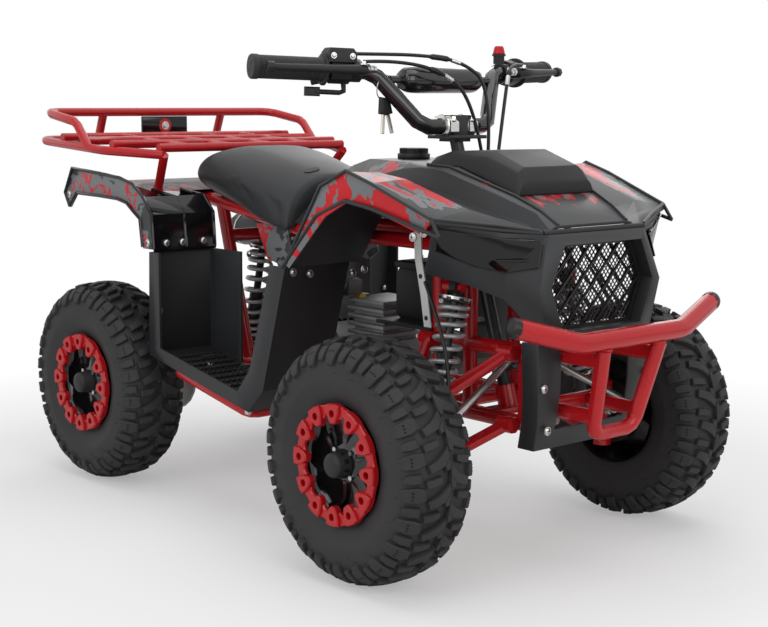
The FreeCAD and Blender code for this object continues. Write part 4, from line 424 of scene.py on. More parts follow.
def wheel_rib(middle):
    """A curved rib pressed into the dish, from the hub out to the barrel."""
    points, faces = [], []
    steps = 8
    for step in range(steps + 1):
        share = step / steps
        radius = 24 + 47 * share
        angle = middle + 0.42 * share * share
        half_width = (3.6 + 2.2 * share) / radius
        base = -31.0 + 3.0 * math.sin(math.pi * share)
        for offset, across in ((-half_width * 1.8, base + 2.5), (-half_width * 0.8, base - 5.0),
                               (half_width * 0.8, base - 5.0), (half_width * 1.8, base + 2.5)):
            points.append(face_spot(angle + offset, radius, across))
    for step in range(steps):
        for index in range(3):
            faces.append((step * 4 + index, step * 4 + index + 1, step * 4 + index + 5, step * 4 + index + 4))
    return points, faces


rim_line = ((-47.5, 79.6), (-47.5, 76.6), (-45, 75.5), (-38, 74.5), (-31, 70), (-28, 62), (-27.5, 50),
            (-29, 38), (-33, 29), (-35, 26), (-36.5, 24), (-36.5, 8.5), (24, 8.5), (24, 22), (-20, 26),
            (-22, 66), (-14, 72), (44, 75), (47.5, 79.6))
dish_parts = [turned(rim_line, 72)] + [wheel_rib(2 * math.pi * rib / 6) for rib in range(6)]
cap_line = ((-36.2, 19.5), (-40, 19.5), (-42, 17.5), (-55, 17), (-58.6, 15), (-60.2, 9), (-60.4, 0.1))
hub_bolts = []
for index in range(4):
    angle = math.pi / 4 + index * math.pi / 2
    spots = [((22.8 * math.sin(angle) + 3.6 * math.sin(turn)) / 1000, across / 1000,
              (22.8 * math.cos(angle) + 3.6 * math.cos(turn)) / 1000)
             for across in (-36.4, -40.4) for turn in (corner * math.pi / 3 for corner in range(6))]
    hub_bolts.append((spots, walls(6, 2) + [tuple(range(6, 12))], 2))
ring_parts = []
for block in range(12):
    middle = 2 * math.pi * block / 12
    ring_parts.append(ring_block(middle))
    ring_parts.append(ring_link(middle + math.radians(8.2), middle + math.radians(21.8)))

rim_nodes = {"front_right": "rim_front_right", "front_left": "rim_front_left"}
ring_nodes = {"front_right": "ring_front_right", "front_left": "ring_front_left"}
for corner, (body, side) in wheel_bodies.items():
    rim = made("dish_" + corner, dish_parts + [(*turned(cap_line, 32), 1)] + hub_bolts,
               [wheel_black, cap_black, bolt_steel], body, crease=50)
    ring = made("face_ring_" + corner, ring_parts, [signal_red], body, crease=24)
    for piece in (rim, ring):
        set_on_wheel(piece, corner, side)
    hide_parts(rim_nodes.get(corner, "rims_rear"))
    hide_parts(ring_nodes.get(corner, "rings_rear"))


# Frame, arms, swingarm, bumper and rack
# Welded round steel tube, powder coated in one gloss red. The solids are drawn in flats, so they
# are shaded round here, and a weld bead of the same red runs round the joints that show.

def dress(node, finish, edge=0.0, crease=52):
    """A piece of the solid model, kept as it is, with its finish, soft edges and round shading."""
    piece = nodes[node]
    piece.data.materials.clear()
    piece.data.materials.append(finish)
    piece.data.polygons.foreach_set("use_smooth", [True] * len(piece.data.polygons))
    weld = piece.modifiers.new("weld", "WELD")
    weld.merge_threshold = 0.00002
    if edge:
        rounding = piece.modifiers.new("soft_edges", "BEVEL")
        rounding.width = edge / 1000
        rounding.segments = 2
        rounding.limit_method = "ANGLE"
        rounding.angle_limit = math.radians(24)
        rounding.harden_normals = True
        rounding.use_clamp_overlap = True
    else:
        split = piece.modifiers.new("creases", "EDGE_SPLIT")
        split.split_angle = math.radians(crease)
        split.use_edge_sharp = False
    return piece


for node in ("frame", "a_arms", "swingarm", "front_bumper", "rear_rack"):
    dress(node, signal_red)


def tube_run(points, radius, sides=12, capped=True):
    """A round tube along points in metres, with one radius or one for each point, in millimetres."""
    line = [Vector(point) for point in points]
    wide = radius if isinstance(radius, (list, tuple)) else [radius] * len(line)
    spots = []
    normal = (line[1] - line[0]).orthogonal().normalized()
    for index, point in enumerate(line):
        run = (line[min(len(line) - 1, index + 1)] - line[max(0, index - 1)]).normalized()
        normal = (normal - run * normal.dot(run)).normalized()
        cross = run.cross(normal)
        for side in range(sides):
            angle = 2 * math.pi * side / sides
            spots.append(point + (normal * math.cos(angle) + cross * math.sin(angle)) * wide[index] / 1000)
    caps = [tuple(range(sides)), tuple(range(len(spots) - sides, len(spots)))] if capped else []
    return spots, walls(sides, len(line)) + caps


def bike_tube(points, radius, sides, side=1):
    """A round tube along places on the bike in millimetres, mirrored by side."""
    return tube_run([on_bike(x, y * side, z) for x, y, z in points], radius, sides)


def turned_along(centre, direction, rings, sides):
    """A shape turned about a direction, from its rings' distances along it and radii in millimetres."""
    centre, direction = Vector(centre), Vector(direction).normalized()
    line = [centre + direction * along / 1000 for along, _ in rings]
    return tube_run(line, [radius for _, radius in rings], sides)


# Plastic plugs with domed ends close the bumper's tube.
plug_black = natural("plug_plastic", (0.012, 0.012, 0.013), 0.35, grain=600)
dome = ((0.0, 1.0), (0.55, 1.0), (0.8, 0.93), (0.95, 0.7), (1.0, 0.02))
plug_length, plug_radius = 12, 13.6
plugs = []
for side in (-1, 1):
    end, bend = on_bike(197, 199 * side, 356), on_bike(221, 102 * side, 329)
    out = (end - bend).normalized()
    rings = [(plug_length * along, plug_radius * wide) for along, wide in dome]
    plugs.append(turned_along(end - out * 0.006, out, rings, 20))
made("bumper_plugs", plugs, [plug_black], "chassis")


def square_to(direction):
    """A direction at length one, and two more square to it and to each other."""
    direction = Vector(direction).normalized()
    first = direction.orthogonal().normalized()
    return direction, first, direction.cross(first)


def hex_bolt(centre, direction, across_flats, height):
    """A hexagon head with a chamfered top, on a round washer."""
    direction, first, second = square_to(direction)
    centre = Vector(centre)
    washer = 1.6
    parts = [turned_along(centre, direction, ((0, across_flats * 0.625), (washer, across_flats * 0.625)), 20)]
    radius = across_flats / 2 / math.cos(math.pi / 6)
    spots = []
    for lift, spread in ((washer, 1.0), (height - 0.8, 1.0), (height, 0.86)):
        for corner in range(6):
            angle = 0.3 + corner * math.pi / 3
            spots.append(centre + direction * lift / 1000
                         + (first * math.cos(angle) + second * math.sin(angle)) * radius * spread / 1000)
    return parts + [(spots, walls(6, 3) + [tuple(range(12, 18))])]


def on_both_sides(kind, rows):
    """Bolts or screws on both sides of the bike, from rows of place, direction and the head's sizes."""
    return [part for side in (-1, 1) for (x, y, z), (ahead, out, up), *sizes in rows
            for part in kind(on_bike(x, y * side, z), (ahead, out * side, up), *sizes)]


# Weld beads where the bumper's hoop meets the bar, and where the rack's legs and slats meet.
def weld_bead(centre, direction, radius, thick=2.2):
    """A slightly uneven ring of weld round a tube."""
    direction, first, second = square_to(direction)
    line, steps = [], 28
    for step in range(steps + 1):
        angle = 2 * math.pi * step / steps
        wave = 0.0004 * math.sin(angle * 9)
        out = first * math.cos(angle) + second * math.sin(angle)
        line.append(Vector(centre) + out * (radius / 1000 + wave) + direction * wave)
    return tube_run(line, thick, 6, capped=False)


beads = []
for side in (-1, 1):
    beads.append(weld_bead(on_bike(220, 54 * side, 316), (0, 0, 1), 9.2))
    beads.append(weld_bead(on_bike(-640, 170 * side, 487), (0.5, -0.1 * side, 0.9), 7.4, 1.8))
made("weld_beads", beads, [signal_red], "chassis")


# Frame fixings: zinc bolts through the arm pivots, the frame's plates and the bumper's stays.
bolt_rows = (
    ((111, 86, 295), (1, 0, 0), 11, 7), ((111, 86, 202), (1, 0, 0), 11, 7),
    ((142, 60, 212), (1, 0, 0), 10, 6), ((-520, 87, 203), (0, 1, 0), 13, 7),
    ((-495, 236, 226), (0, 1, 0), 9, 5), ((-302, 236, 176), (0, 1, 0), 9, 5),
)
made("frame_bolts", on_both_sides(hex_bolt, bolt_rows), [bolt_steel], "chassis", crease=30)


# Uprights, drums, axle, steering parts and dampers
# Black painted steel for what turns and carries, bare zinc-plated steel for the axle, the chain
# and the tie rods, and grey painted coil springs wound round the three dampers.

satin_black = natural("satin_black_paint", (0.018, 0.018, 0.019), 0.38, coat=0.15, grain=300)
bare_steel = natural("plated_steel", (0.5, 0.5, 0.49), 0.32, metallic=1, mottle=0.14, grain=240, depth=0.0002)
spring_grey = natural("spring_grey_paint", (0.42, 0.43, 0.44), 0.34, metallic=0.35, coat=0.3, mottle=0.06,
                      grain=300)
for node in ("knuckle_right", "knuckle_left"):
    dress(node, satin_black)
for node in ("rear_axle", "tie_rod_right", "tie_rod_left"):
    dress(node, bare_steel)
dress("steering_column", satin_black, edge=1.0)
dress("dampers", satin_black)


def coil_spring(top, foot, turns, coil_radius, thick):
    """A closed-end coil spring between two points."""
    run, first, second = square_to(foot - top)
    length = (foot - top).length
    line, steps = [], turns * 26
    for step in range(steps + 1):
        share = step / steps
        eased = share - 0.055 * math.sin(2 * math.pi * share)
        angle = 2 * math.pi * turns * share
        line.append(top + run * length * eased
                    + (first * math.cos(angle) + second * math.sin(angle)) * coil_radius / 1000)
    return tube_run(line, thick, 10)


def seat_ring(centre, direction, radius, thick):
    """The turned ring that an end of the spring sits on."""
    rings = ((-thick, radius * 0.55), (-thick * 0.6, radius), (thick * 0.4, radius), (thick, radius * 0.8),
             (thick, radius * 0.5))
    return turned_along(centre, direction, rings, 24)


# Two springs in front and one behind: the ends of each coil, from the damper's own places.
coils = [(on_bike(6, 114.3 * side, 362.5), on_bike(6, 142.7 * side, 241.8), 9) for side in (-1, 1)]
coils.append((on_bike(-583.1, 0, 385.4), on_bike(-618.4, 0, 229.4), 10))
wound, collars = [], []
for top, foot, turns in coils:
    run = (foot - top).normalized()
    wound.append(coil_spring(top + run * 0.003, foot - run * 0.003, turns, 19, 3.3))
    collars.append(seat_ring(top - run * 0.003, run, 23, 4))
    collars.append(seat_ring(foot + run * 0.003, -run, 23, 4))
made("coil_springs", wound, [spring_grey], "chassis")
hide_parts("springs")
made("spring_collars", collars, [bolt_steel], "chassis")


# Drive chain
# Roller chain over the engine's sprocket and the axle's: two rows of side plates, with a roller
# between them at every pin.

chain_steel = natural("oiled_chain", (0.16, 0.15, 0.14), 0.34, metallic=1.0, mottle=0.25, grain=500)
dress("drive_chain", chain_steel)


def chain_spots(pitch):
    """Places one pitch apart round both sprockets, with the angle of the chain at each."""
    near, near_radius = Vector((-400.0, 248.0)), 24.5
    far, far_radius = Vector((-714.0, 165.0)), 62.5
    slope = math.atan2(near.y - far.y, near.x - far.x)
    gap = (near - far).length
    lean = math.asin((far_radius - near_radius) / gap)
    quarter = math.pi / 2
    line = []
    for centre, radius, start, end in ((near, near_radius, slope + quarter + lean, slope - quarter - lean),
                                       (far, far_radius, slope - quarter - lean, slope - 3 * quarter + lean)):
        for step in range(25):
            angle = start + (end - start) * step / 24
            line.append(centre + Vector((math.cos(angle), math.sin(angle))) * radius)
    line.append(line[0])
    spots, carry = [], 0.0
    for here, there in zip(line, line[1:]):
        run = there - here
        while carry < run.length:
            spots.append((here + run.normalized() * carry, math.atan2(run.y, run.x)))
            carry += pitch
        carry -= run.length
    return spots


def chain_link(spot, angle, across, thick):
    """One side plate: two round ends joined by a waist."""
    ring = []
    for end in (-1, 1):
        for step in range(7):
            turn = angle + (math.pi * step / 6 - math.pi / 2) * end - (math.pi if end < 0 else 0)
            ring.append(spot + Vector((math.cos(angle), math.sin(angle))) * 4.2 * end
                        + Vector((math.cos(turn), math.sin(turn))) * 3.6)
    points = [on_bike(p.x, across + lift, p.y) for lift in (0, thick) for p in ring]
    count = len(ring)
    return points, [tuple(range(count)), tuple(range(count, 2 * count))] + walls(count, 2)


links = []
chain_line, plate = 95, 1.2
for index, (spot, angle) in enumerate(chain_spots(8.4)):
    wide = 3.6 if index % 2 else 2.4
    links.append(chain_link(spot, angle, chain_line - wide - plate, plate))
    links.append(chain_link(spot, angle, chain_line + wide, plate))
made("chain_plates", links, [chain_steel], "chassis", crease=30)


# Body panels
# Injection-moulded plastic: satin charcoal hood and footwells, gloss black wheel wells. The
# printed film on the fenders is a torn pattern of grey and red over the charcoal.

charcoal = natural("satin_body_plastic", (0.024, 0.025, 0.027), 0.40, mottle=0.05, grain=1500, depth=0.0001)
deep_black = natural("matt_black_plastic", (0.013, 0.013, 0.014), 0.48, mottle=0.08, grain=1300,
                     depth=0.00015)
gloss_plastic = natural("gloss_black_plastic", (0.005, 0.005, 0.006), 0.10, coat=0.12, grain=60, depth=0.0001)
film_grey, film_dark = (0.17, 0.18, 0.19), (0.045, 0.046, 0.049)
film_red, film_pale = (0.56, 0.012, 0.018), (0.62, 0.63, 0.64)


def torn_film(name, stops, centre, reach, torn, grain, slant=(1, 1, 1)):
    """Printed film: flat colours in bands by distance from centre, their borders torn by noise.

    The centre is a place on the bike, mirrored on its other side, and None for its left means that
    only the distance lengthwise and upwards counts. Colours run over reach, in metres.
    """
    material, tree, surface = paint(name)
    set_inputs(surface, {"Roughness": 0.38, "Specular IOR Level": 0.3, "Coat Weight": 0.05,
                         "Coat Roughness": 0.1})
    ahead, left, up = centre
    middle = on_bike(ahead, left or 0, up)
    place = add(tree, "TexCoord")
    stretch = add(tree, "VectorMath", {1: slant}, operation="MULTIPLY")
    ragged = add(tree, "TexNoise", {"Scale": grain, "Detail": 2.5, "Roughness": 0.55, "Distortion": 0.7})
    side_on = add(tree, "VectorMath", {1: (1, 0, 1) if left is None else (1, 1, 1)}, operation="MULTIPLY")
    mirrored = add(tree, "VectorMath", operation="ABSOLUTE")
    gap = add(tree, "VectorMath", {1: tuple(abs(value) for value in middle)}, operation="DISTANCE")
    scaled = add(tree, "MapRange", {"From Min": reach[0], "From Max": reach[1]}, clamp=False)
    wave = add(tree, "Math", {1: torn * 4, 2: -torn * 2}, operation="MULTIPLY_ADD")
    total = add(tree, "Math", operation="ADD")
    ramp = add(tree, "ValToRGB")
    ramp.color_ramp.interpolation = "CONSTANT"
    while len(ramp.color_ramp.elements) < len(stops):
        ramp.color_ramp.elements.new(0.5)
    for element, (share, colour) in zip(ramp.color_ramp.elements, stops):
        element.position = share
        element.color = (*colour, 1)
    wire(tree, (place, "Object", stretch, 0), (stretch, "Vector", ragged, "Vector"),
         (place, "Object", side_on, 0), (side_on, "Vector", mirrored, 0), (mirrored, "Vector", gap, 0),
         (gap, "Value", scaled, "Value"), (ragged, "Fac", wave, 0), (scaled, "Result", total, 0),
         (wave, "Value", total, 1), (total, "Value", ramp, "Fac"), (ramp, "Color", surface, "Base Color"))
    return material


def paint_faces(node, finishes, choose):
    """Give each face of a solid one of several finishes, by its middle, as on_bike takes it, and normal."""
    data = nodes[node].data
    for finish in finishes:
        data.materials.append(finish)
    for side in data.polygons:
        spot = Vector((side.center.x - front_axle, side.center.y, side.center.z)) * 1000
        side.material_index = choose(spot, side.normal)


# Hood and front fenders
# One moulding: a raised plate in the middle, a step down to the fender tops on both sides and a
# band hanging from their outer edge round the wheel. A bead runs along every edge.

band_film = torn_film("fender_band_film", ((0.0, film_red), (0.52, film_grey)), (-30, None, 380),
                      (0.100, 0.170), torn=0.62, grain=30)
top_film = torn_film("fender_top_film",
                     ((0.0, film_dark), (0.30, film_grey), (0.47, film_dark), (0.56, film_red),
                      (0.80, film_grey), (0.93, film_dark)),
                     (-60, 90, 520), (0.0, 0.16), torn=0.32, grain=26, slant=(0.7, 1.5, 1))
plate_film = torn_film("hood_plate_film",
                       ((0.0, film_pale), (0.10, film_grey), (0.34, film_red), (0.44, film_dark)),
                       (40, 14, 525), (0.0, 0.14), torn=0.36, grain=30, slant=(0.8, 1.4, 1))
dress("front_fender", charcoal, edge=1.6)


def hood_finish(spot, normal):
    wide = abs(spot.y)
    if abs(normal.y) > 0.8 and wide > 220 and spot.z > 425:
        return 1
    if normal.z > 0.35 and 150 < wide < 246 and -150 < spot.x < 60:
        return 2
    if normal.z > 0.5 and wide < 95 and spot.x > -60 and spot.z > 470:
        return 3
    if normal.z > 0.35 and 60 < wide < 112 and spot.x < -120 and spot.z > 470:
        return 2
    if normal.x > 0.3 and spot.x < -90 or normal.z < -0.3:
        return 4
    return 0


paint_faces("front_fender", [band_film, top_film, plate_film, deep_black], hood_finish)


def edge_beads(rows):
    """Moulded beads along the edges of a panel on both sides, from rows of points and radius."""
    return [bike_tube(points, radius, 8, side) for side in (-1, 1) for points, radius in rows]


hood_edge = ((82, 231, 484), (-29, 238, 525), (-76, 240, 539), (-121, 247, 517), (-194, 251, 405))
band_foot = ((98, 232, 462), (-27, 239, 492), (-78, 241, 499), (-130, 247, 476), (-201, 251, 400))
bead_rows = (
    (hood_edge, 2.6), (band_foot, 2.8), ((hood_edge[0], band_foot[0]), 2.6),
    (((150, 104, 467), (121, 156, 475), (82, 231, 484)), 2.4),
    (((150, 68, 473), (121, 72, 491), (82, 78, 508), (-29, 92, 542), (-76, 92, 544)), 2.0),
)
made("hood_edge_beads", edge_beads(bead_rows), [charcoal], "chassis")

# A rubber seal fills the seam between the hood's lip and the mask below it.
lip_seal = bike_tube(((151, -100, 463), (151, 0, 463), (151, 100, 463)), 5.0, 10)
cheek_seals = edge_beads([(((151, 100, 463), (124, 150, 468), (92, 205, 476), (80, 231, 479)), 4.6)])
made("hood_seals", [lip_seal] + cheek_seals, [deep_black], "chassis")


def pan_screw(centre, direction, radius):
    """A domed screw on a thin washer, its cross recess two thin near-black bars of painted shade."""
    direction, first, second = square_to(direction)
    centre = Vector(centre)
    head = ((0.5, 1.0), (1.6, 0.95), (2.6, 0.72), (3.0, 0.36))
    parts = [turned_along(centre, direction, ((-1, radius * 1.25), (0.9, radius * 1.25)), 20),
             turned_along(centre, direction, [(lift, radius * wide) for lift, wide in head], 18)]
    top = centre + direction * 0.00305
    # The cross recess is two thin near-black bars on the dome's top: painted shade in place of the slot's
    # hollow.
    for turn in (0.6, 0.6 + math.pi / 2):
        arm = (first * math.cos(turn) + second * math.sin(turn)) * radius * 0.0006
        parts.append((*tube_run([top - arm, top + arm], 0.55, 4), 1))
    return parts


# Near-black finish for screw recesses, drain slots, starter slots and stay holes: painted shade in place of
# hollows and openings.
recess_painted_shade = natural("recess_shadow", (0.02, 0.02, 0.02), 0.6)


def screws(name, rows):
    """Domed screws on both sides of the bodywork, as one piece."""
    made(name, on_both_sides(pan_screw, rows), [bolt_steel, recess_painted_shade], "chassis", crease=30)


arch_screws = [((56, 238, 460), (0.1, 1, 0), 4.6), ((70, 232, 466), (0.1, 1, 0), 4.6)]
rear_edge = ((236, 392), (206, 388), (126, 383), (104, 387))
screws("hood_screws", arch_screws + [((-195.5, y, z), (1, 0, 0), 4.8) for y, z in rear_edge])


# Rear fender, side trims and tail panel
# The wells are one gloss black moulding with a deck between them. A printed band runs round the
# outside of each well, and trims in the same film close the space under the saddle's nose.

tail_band_film = torn_film("tail_band_film",
                           ((0.0, film_grey), (0.46, film_red), (0.6, film_grey), (0.94, film_dark)),
                           (-690, None, 400), (0.05, 0.145), torn=0.55, grain=26)
deck_film = torn_film("tail_deck_film",
                      ((0.0, film_dark), (0.4, film_grey), (0.55, film_red), (0.68, film_dark)),
                      (-700, 60, 500), (0.0, 0.20), torn=0.5, grain=18, slant=(1, 1.6, 1))
trim_film = torn_film("side_trim_film", ((0.0, film_red), (0.42, film_grey), (0.86, film_dark)),
                      (-480, 90, 380), (0.0, 0.12), torn=0.75, grain=22)
dress("rear_fender", gloss_plastic, edge=1.6)


def tail_finish(spot, normal):
    wide = abs(spot.y)
    if abs(normal.y) > 0.8 and wide > 240:
        return 1
    if normal.z > 0.7 and spot.x < -640 and wide < 245:
        return 2
    return 0


paint_faces("rear_fender", [tail_band_film, deck_film], tail_finish)
dress("side_panels", trim_film, edge=0.8)
dress("tail_panel", gloss_plastic, edge=1.0)

# Each edge of the wells, as places ahead and up: the band's upper and lower edges, and the well's mouth.
tail_edge = ((-530, 400), (-534, 453), (-560, 480), (-589, 498), (-626, 506), (-690, 511), (-776, 516),
             (-801, 474))
tail_foot = ((-562, 400), (-569, 444), (-588, 455), (-607, 467), (-635, 472), (-690, 474), (-764, 475),
             (-787, 452))
well_mouth = ((-531, 400), (-535, 450), (-561, 477), (-590, 480), (-626, 485))
bead_rows = [([(x, y, z) for x, z in edge], radius) for edge, y, radius in (
    (tail_edge, 251, 2.8), (tail_foot, 251, 2.6), ((tail_edge[-1], tail_foot[-1]), 251, 2.6),
    (well_mouth, 190, 3.2), (well_mouth, 135, 3.2))]
made("tail_edge_beads", edge_beads(bead_rows), [gloss_plastic], "chassis")

screws("tail_screws", [((-786, 251, 472), (0, 1, 0), 5), ((-546, 251, 408), (0, 1, 0), 5),
                       *(((-529, y, 408), (1, 0, 0), 4.6) for y in (228, 198, 158)),
                       ((-498, 91, 384), (0, 1, 0), 4.6)])

# The tail panel's round fixing, ringed in red.
centre = middle_of("tail_panel")
parts = []
for face, way in zip(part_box("tail_panel"), (-1, 1)):
    spot, out = Vector((face.x, centre.y, centre.z)), Vector((way, 0, 0))
    parts.append((*turned_along(spot, out, ((0, 13), (1.2, 13)), 28), 1))
    parts.append(turned_along(spot, out, ((0, 7.5), (2, 7.5)), 24))
    parts += hex_bolt(spot + out * 0.002, out, 8, 3)
made("tail_panel_bolt", parts, [bolt_steel, signal_red], "chassis", crease=30)


# Footwells
# Two moulded tubs with a wide outer rim, a ribbed mat on the floor and slots that let mud fall
# through. Screws hold them to the fenders and, underneath, to the red step tube.

def footwell_finish(spot, normal):
    inside = abs(spot.y) < 244 and abs(normal.y) < 0.8 and spot.x < -215
    return 1 if inside or normal.x > 0.3 else 0


for side in ("right", "left"):
    dress("footwell_" + side, charcoal, edge=2.0)
    paint_faces("footwell_" + side, [deep_black], footwell_finish)


def floor_spot(x, y, lift):
    """A place on the mat, whose floor rises towards the back of the bike."""
    front, level, slope = -286, 184.5, 0.194
    return on_bike(x, y, level + (front - x) * slope + lift)


square = ((-1, -1), (1, -1), (1, 1), (-1, 1))


def rounded_bar(middle, along, up, length, width, height, rounding=0.35):
    """A low bar with its long edges sloped in, as a grip strip or a boss is moulded."""
    along, up = Vector(along).normalized(), Vector(up).normalized()
    wide = along.cross(up)
    points = [Vector(middle) + along * a * (length - (1 - shrink) * width) / 2000
              + wide * b * width * shrink / 2000 + up * lift * height / 1000
              for lift, shrink in ((-0.4, 1.0), (0.55, 1.0), (1.0, 1.0 - rounding)) for a, b in square]
    return points, walls(4, 3) + [(8, 9, 10, 11), (3, 2, 1, 0)]


slots, studs = [], []
tilt = (0.19, 0, 1)
for side in (-1, 1):
    for row in range(11):
        for column in range(9):
            spot = floor_spot(-316 - row * 19, (150 + column * 10) * side, 1.0)
            studs.append(rounded_bar(spot, (1, 0, -0.19), tilt, 5.5, 5.5, 2.2, 0.4))
    for x, y in ((-500, 165), (-470, 205), (-322, 165), (-322, 210)):
        slots.append(rounded_bar(floor_spot(x, y * side, 0.4), (0, 1, 0), tilt, 34, 7, 0.8, 0.2))
made("footwell_grip_studs", studs, [deep_black], "chassis")
# The drain slots are thin strips of near-black finish laid on the mat: painted shade in place of openings.
made("footwell_drain_slots", slots, [recess_painted_shade], "chassis")

screws("footwell_screws", (((-538, 236, 300), (1, 0, 0), 4.2), ((-470, 190, 219), tilt, 5),
                           ((-330, 190, 192), tilt, 5)))


# Nose: mask, grille, lamps, chin plate and cowl
# The mask is a thick moulded surround with a pressed steel mesh behind it. Dark smoked lenses sit
# in its cheeks, and the chin plate hangs below it, behind the bumper's hoop.

for node, edge in (("nose_mask", 2.4), ("chin_plate", 1.8)):
    dress(node, charcoal, edge=edge)
mesh_black = natural("mesh_black_paint", (0.012, 0.012, 0.012), 0.32, coat=0.2, grain=500)
dress("grille", mesh_black)
smoked_lens = natural("smoked_lens", (0.004, 0.0035, 0.0035), 0.07, coat=0.2, mottle=0.25, grain=20,
                      depth=0.00005)
dress("headlights", smoked_lens, edge=1.2)

# Behind the lattice a finer pressed sheet closes the opening: two layers of thin strands.
def opening_half(z):
    """The mask's opening is widest in the middle and narrower at top and bottom."""
    top, wide, foot = 448.0, 394.0, 335.0
    share = (top - z) / (top - wide) if z > wide else (z - foot) / (wide - foot)
    return 78 + 23 * max(0.0, min(1.0, share))


strands = []
for way in (-1, 1):
    for step in range(-24, 25):
        heights = [337 + share * 2.75 for share in range(41)]
        run = [(step * 7.5 + (z - 392) * 0.8 * way, z) for z in heights]
        run = [(y, z) for y, z in run if abs(y) < opening_half(z) - 4]
        if len(run) > 2:
            depth = 148 + way * 0.6
            strands.append(bike_tube([(depth, *run[0]), (depth, *run[-1])], 0.9, 5))
made("grille_backing_mesh", strands, [mesh_black], "chassis")

# Two moulded fins stand inside each lamp.
fin_rows = ((((152, 116, 455), (126, 152, 458)), 2.0), (((150, 122, 430), (124, 156, 430)), 2.0))
made("headlight_fins", edge_beads(fin_rows), [smoked_lens], "chassis")

screws("chin_screws", (((158, 90.21, 204), (1, 0, 0), 4.8), ((162, 102.3, 262), (1, 0, 0), 4.8)))

dress("cowl", deep_black, edge=5.0)
cap_rubber = natural("fuel_cap_plastic", (0.012, 0.012, 0.012), 0.4, grain=800)
dress("fuel_cap", cap_rubber, edge=1.2)
cap_middle, cap_top = middle_of("fuel_cap"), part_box("fuel_cap")[1].z
cap_radius, rib_count = 0.0203, 28
ribs = []
for step in range(rib_count):
    angle = 2 * math.pi * step / rib_count
    out = Vector((math.cos(angle), math.sin(angle), 0))
    spot = Vector((cap_middle.x, cap_middle.y, cap_top - 0.005)) + out * cap_radius
    ribs.append(rounded_bar(spot, (0, 0, 1), out, 9, 2.4, 1.2))
made("fuel_cap_ribs", ribs, [cap_rubber], "chassis")


# Engine, exhaust and what shows behind the footwells
# A small air-cooled engine: cast grey crankcase and fins, a black pull starter with slots, an air
# filter and a carburettor above it, and a black painted silencer with a bright outlet.

cast_grey = natural("cast_alloy", (0.20, 0.20, 0.20), 0.5, metallic=0.6, mottle=0.2, grain=420, depth=0.0004)
brass = natural("brass_fitting", (0.55, 0.36, 0.10), 0.3, metallic=1.0, mottle=0.1, grain=400)
dress("engine", cast_grey, edge=1.4)
dress("exhaust", satin_black)


def block_at(middle, size, rounding=0.18):
    """A small moulded or cast block with sloped upper edges, from its middle and its three sizes."""
    length, width, height = size
    levels = ((-0.5, 0.06), (-0.42, 0.0), (0.36, 0.0), (0.5, rounding))
    points = [Vector(middle) + Vector((a * (length / 2 - inset * height), b * (width / 2 - inset * height),
                                       lift * height)) / 1000
              for lift, inset in levels for a, b in square]
    return points, walls(4, 4) + [(12, 13, 14, 15), (3, 2, 1, 0)]


starter_middle = on_bike(-332, -84, 255)
starter = [turned_along(starter_middle, (0, -1, 0), ((0, 40), (8, 40), (11, 34)), 32)]
for step in range(14):
    angle = 2 * math.pi * step / 14
    out = Vector((math.cos(angle), 0, math.sin(angle)))
    spot = starter_middle + out * 0.026 + Vector((0, -0.011, 0))
    starter.append((*rounded_bar(spot, out, (0, -1, 0), 13, 4, 0.7), 1))
# The starter cover's slots are low strips of near-black finish on its face: painted shade in place of
# openings.
made("starter_cover", starter, [deep_black, recess_painted_shade], "chassis")

# The carburettor's body, its mouth, the air filter, a brass fitting with its nut, and the flange.
filter_line = ((-318, -70, 350), (-318, -74, 350), (-318, -112, 352), (-318, -115, 352))
carburettor = [block_at(on_bike(-318, -30, 345), (30, 26, 28)),
               bike_tube(((-318, -44, 348), (-318, -70, 350)), 12, 24),
               (*bike_tube(filter_line, [24, 27, 27, 23], 32), 1),
               (*bike_tube(((-304, -30, 331), (-292, -30, 331)), 5, 12), 2),
               (*bike_tube(((-292, -30, 331), (-286, -30, 331)), 7, 6), 2),
               block_at(on_bike(-318, -30, 331.5), (44, 44, 5))]
made("carburettor", carburettor, [cast_grey, deep_black, brass], "chassis")

# The battery's case, lid and two terminals, on its tray.
battery = [block_at(on_bike(-128, -22, 352), (96, 74, 76), 0.05),
           block_at(on_bike(-128, -22, 394), (100, 78, 10)),
           *((*bike_tube(((x, -30, 398), (x, -30, 406)), 6, 14), 1) for x in (-158, -98)),
           block_at(on_bike(-128, -22, 311), (120, 132, 6), 0.1)]
made("battery_box", battery, [deep_black, bolt_steel], "chassis")

outlet = [bike_tube(((-788, 105, 396), (-796, 105, 396), (-803, 105, 394)), [27, 12, 9], 24)]
outlet += [bike_tube(((x, 105, 396), (x - 4, 105, 396)), 29.2, 30) for x in (-650, -770)]
made("silencer_bands", outlet, [bare_steel], "chassis")

# A flat stay, bright zinc with two round holes, hangs from each fender behind the lamp. The holes are
# near-black discs through the stay: painted shade in place of openings.
stay_points = ((-32, 512), (-31, 470), (-29, 420), (-17, 372), (-9, 328))
stay_half = 7
parts = []
for side in (-1, 1):
    points = [on_bike(x + a * stay_half, (150 + b) * side, z) for x, z in stay_points for b, a in square]
    parts.append((points, walls(4, 5) + [(0, 1, 2, 3), (16, 17, 18, 19)]))
    for x, z in ((-12, 340), (-24, 396)):
        parts.append((*bike_tube(((x, 148.6, z), (x, 151.4, z)), 3.4, 16, side), 1))
made("fender_stays", parts, [bare_steel, recess_painted_shade], "chassis", crease=30)


# Saddle
# Moulded foam under a grained vinyl cover, drawn tight round a plastic base: low and narrow at
# the tank, crowned and broad at the back, with a welded edge at its foot.

vinyl = natural("seat_vinyl", (0.026, 0.027, 0.029), 0.46, mottle=0.06, grain=1100, depth=0.0004, patch=5)
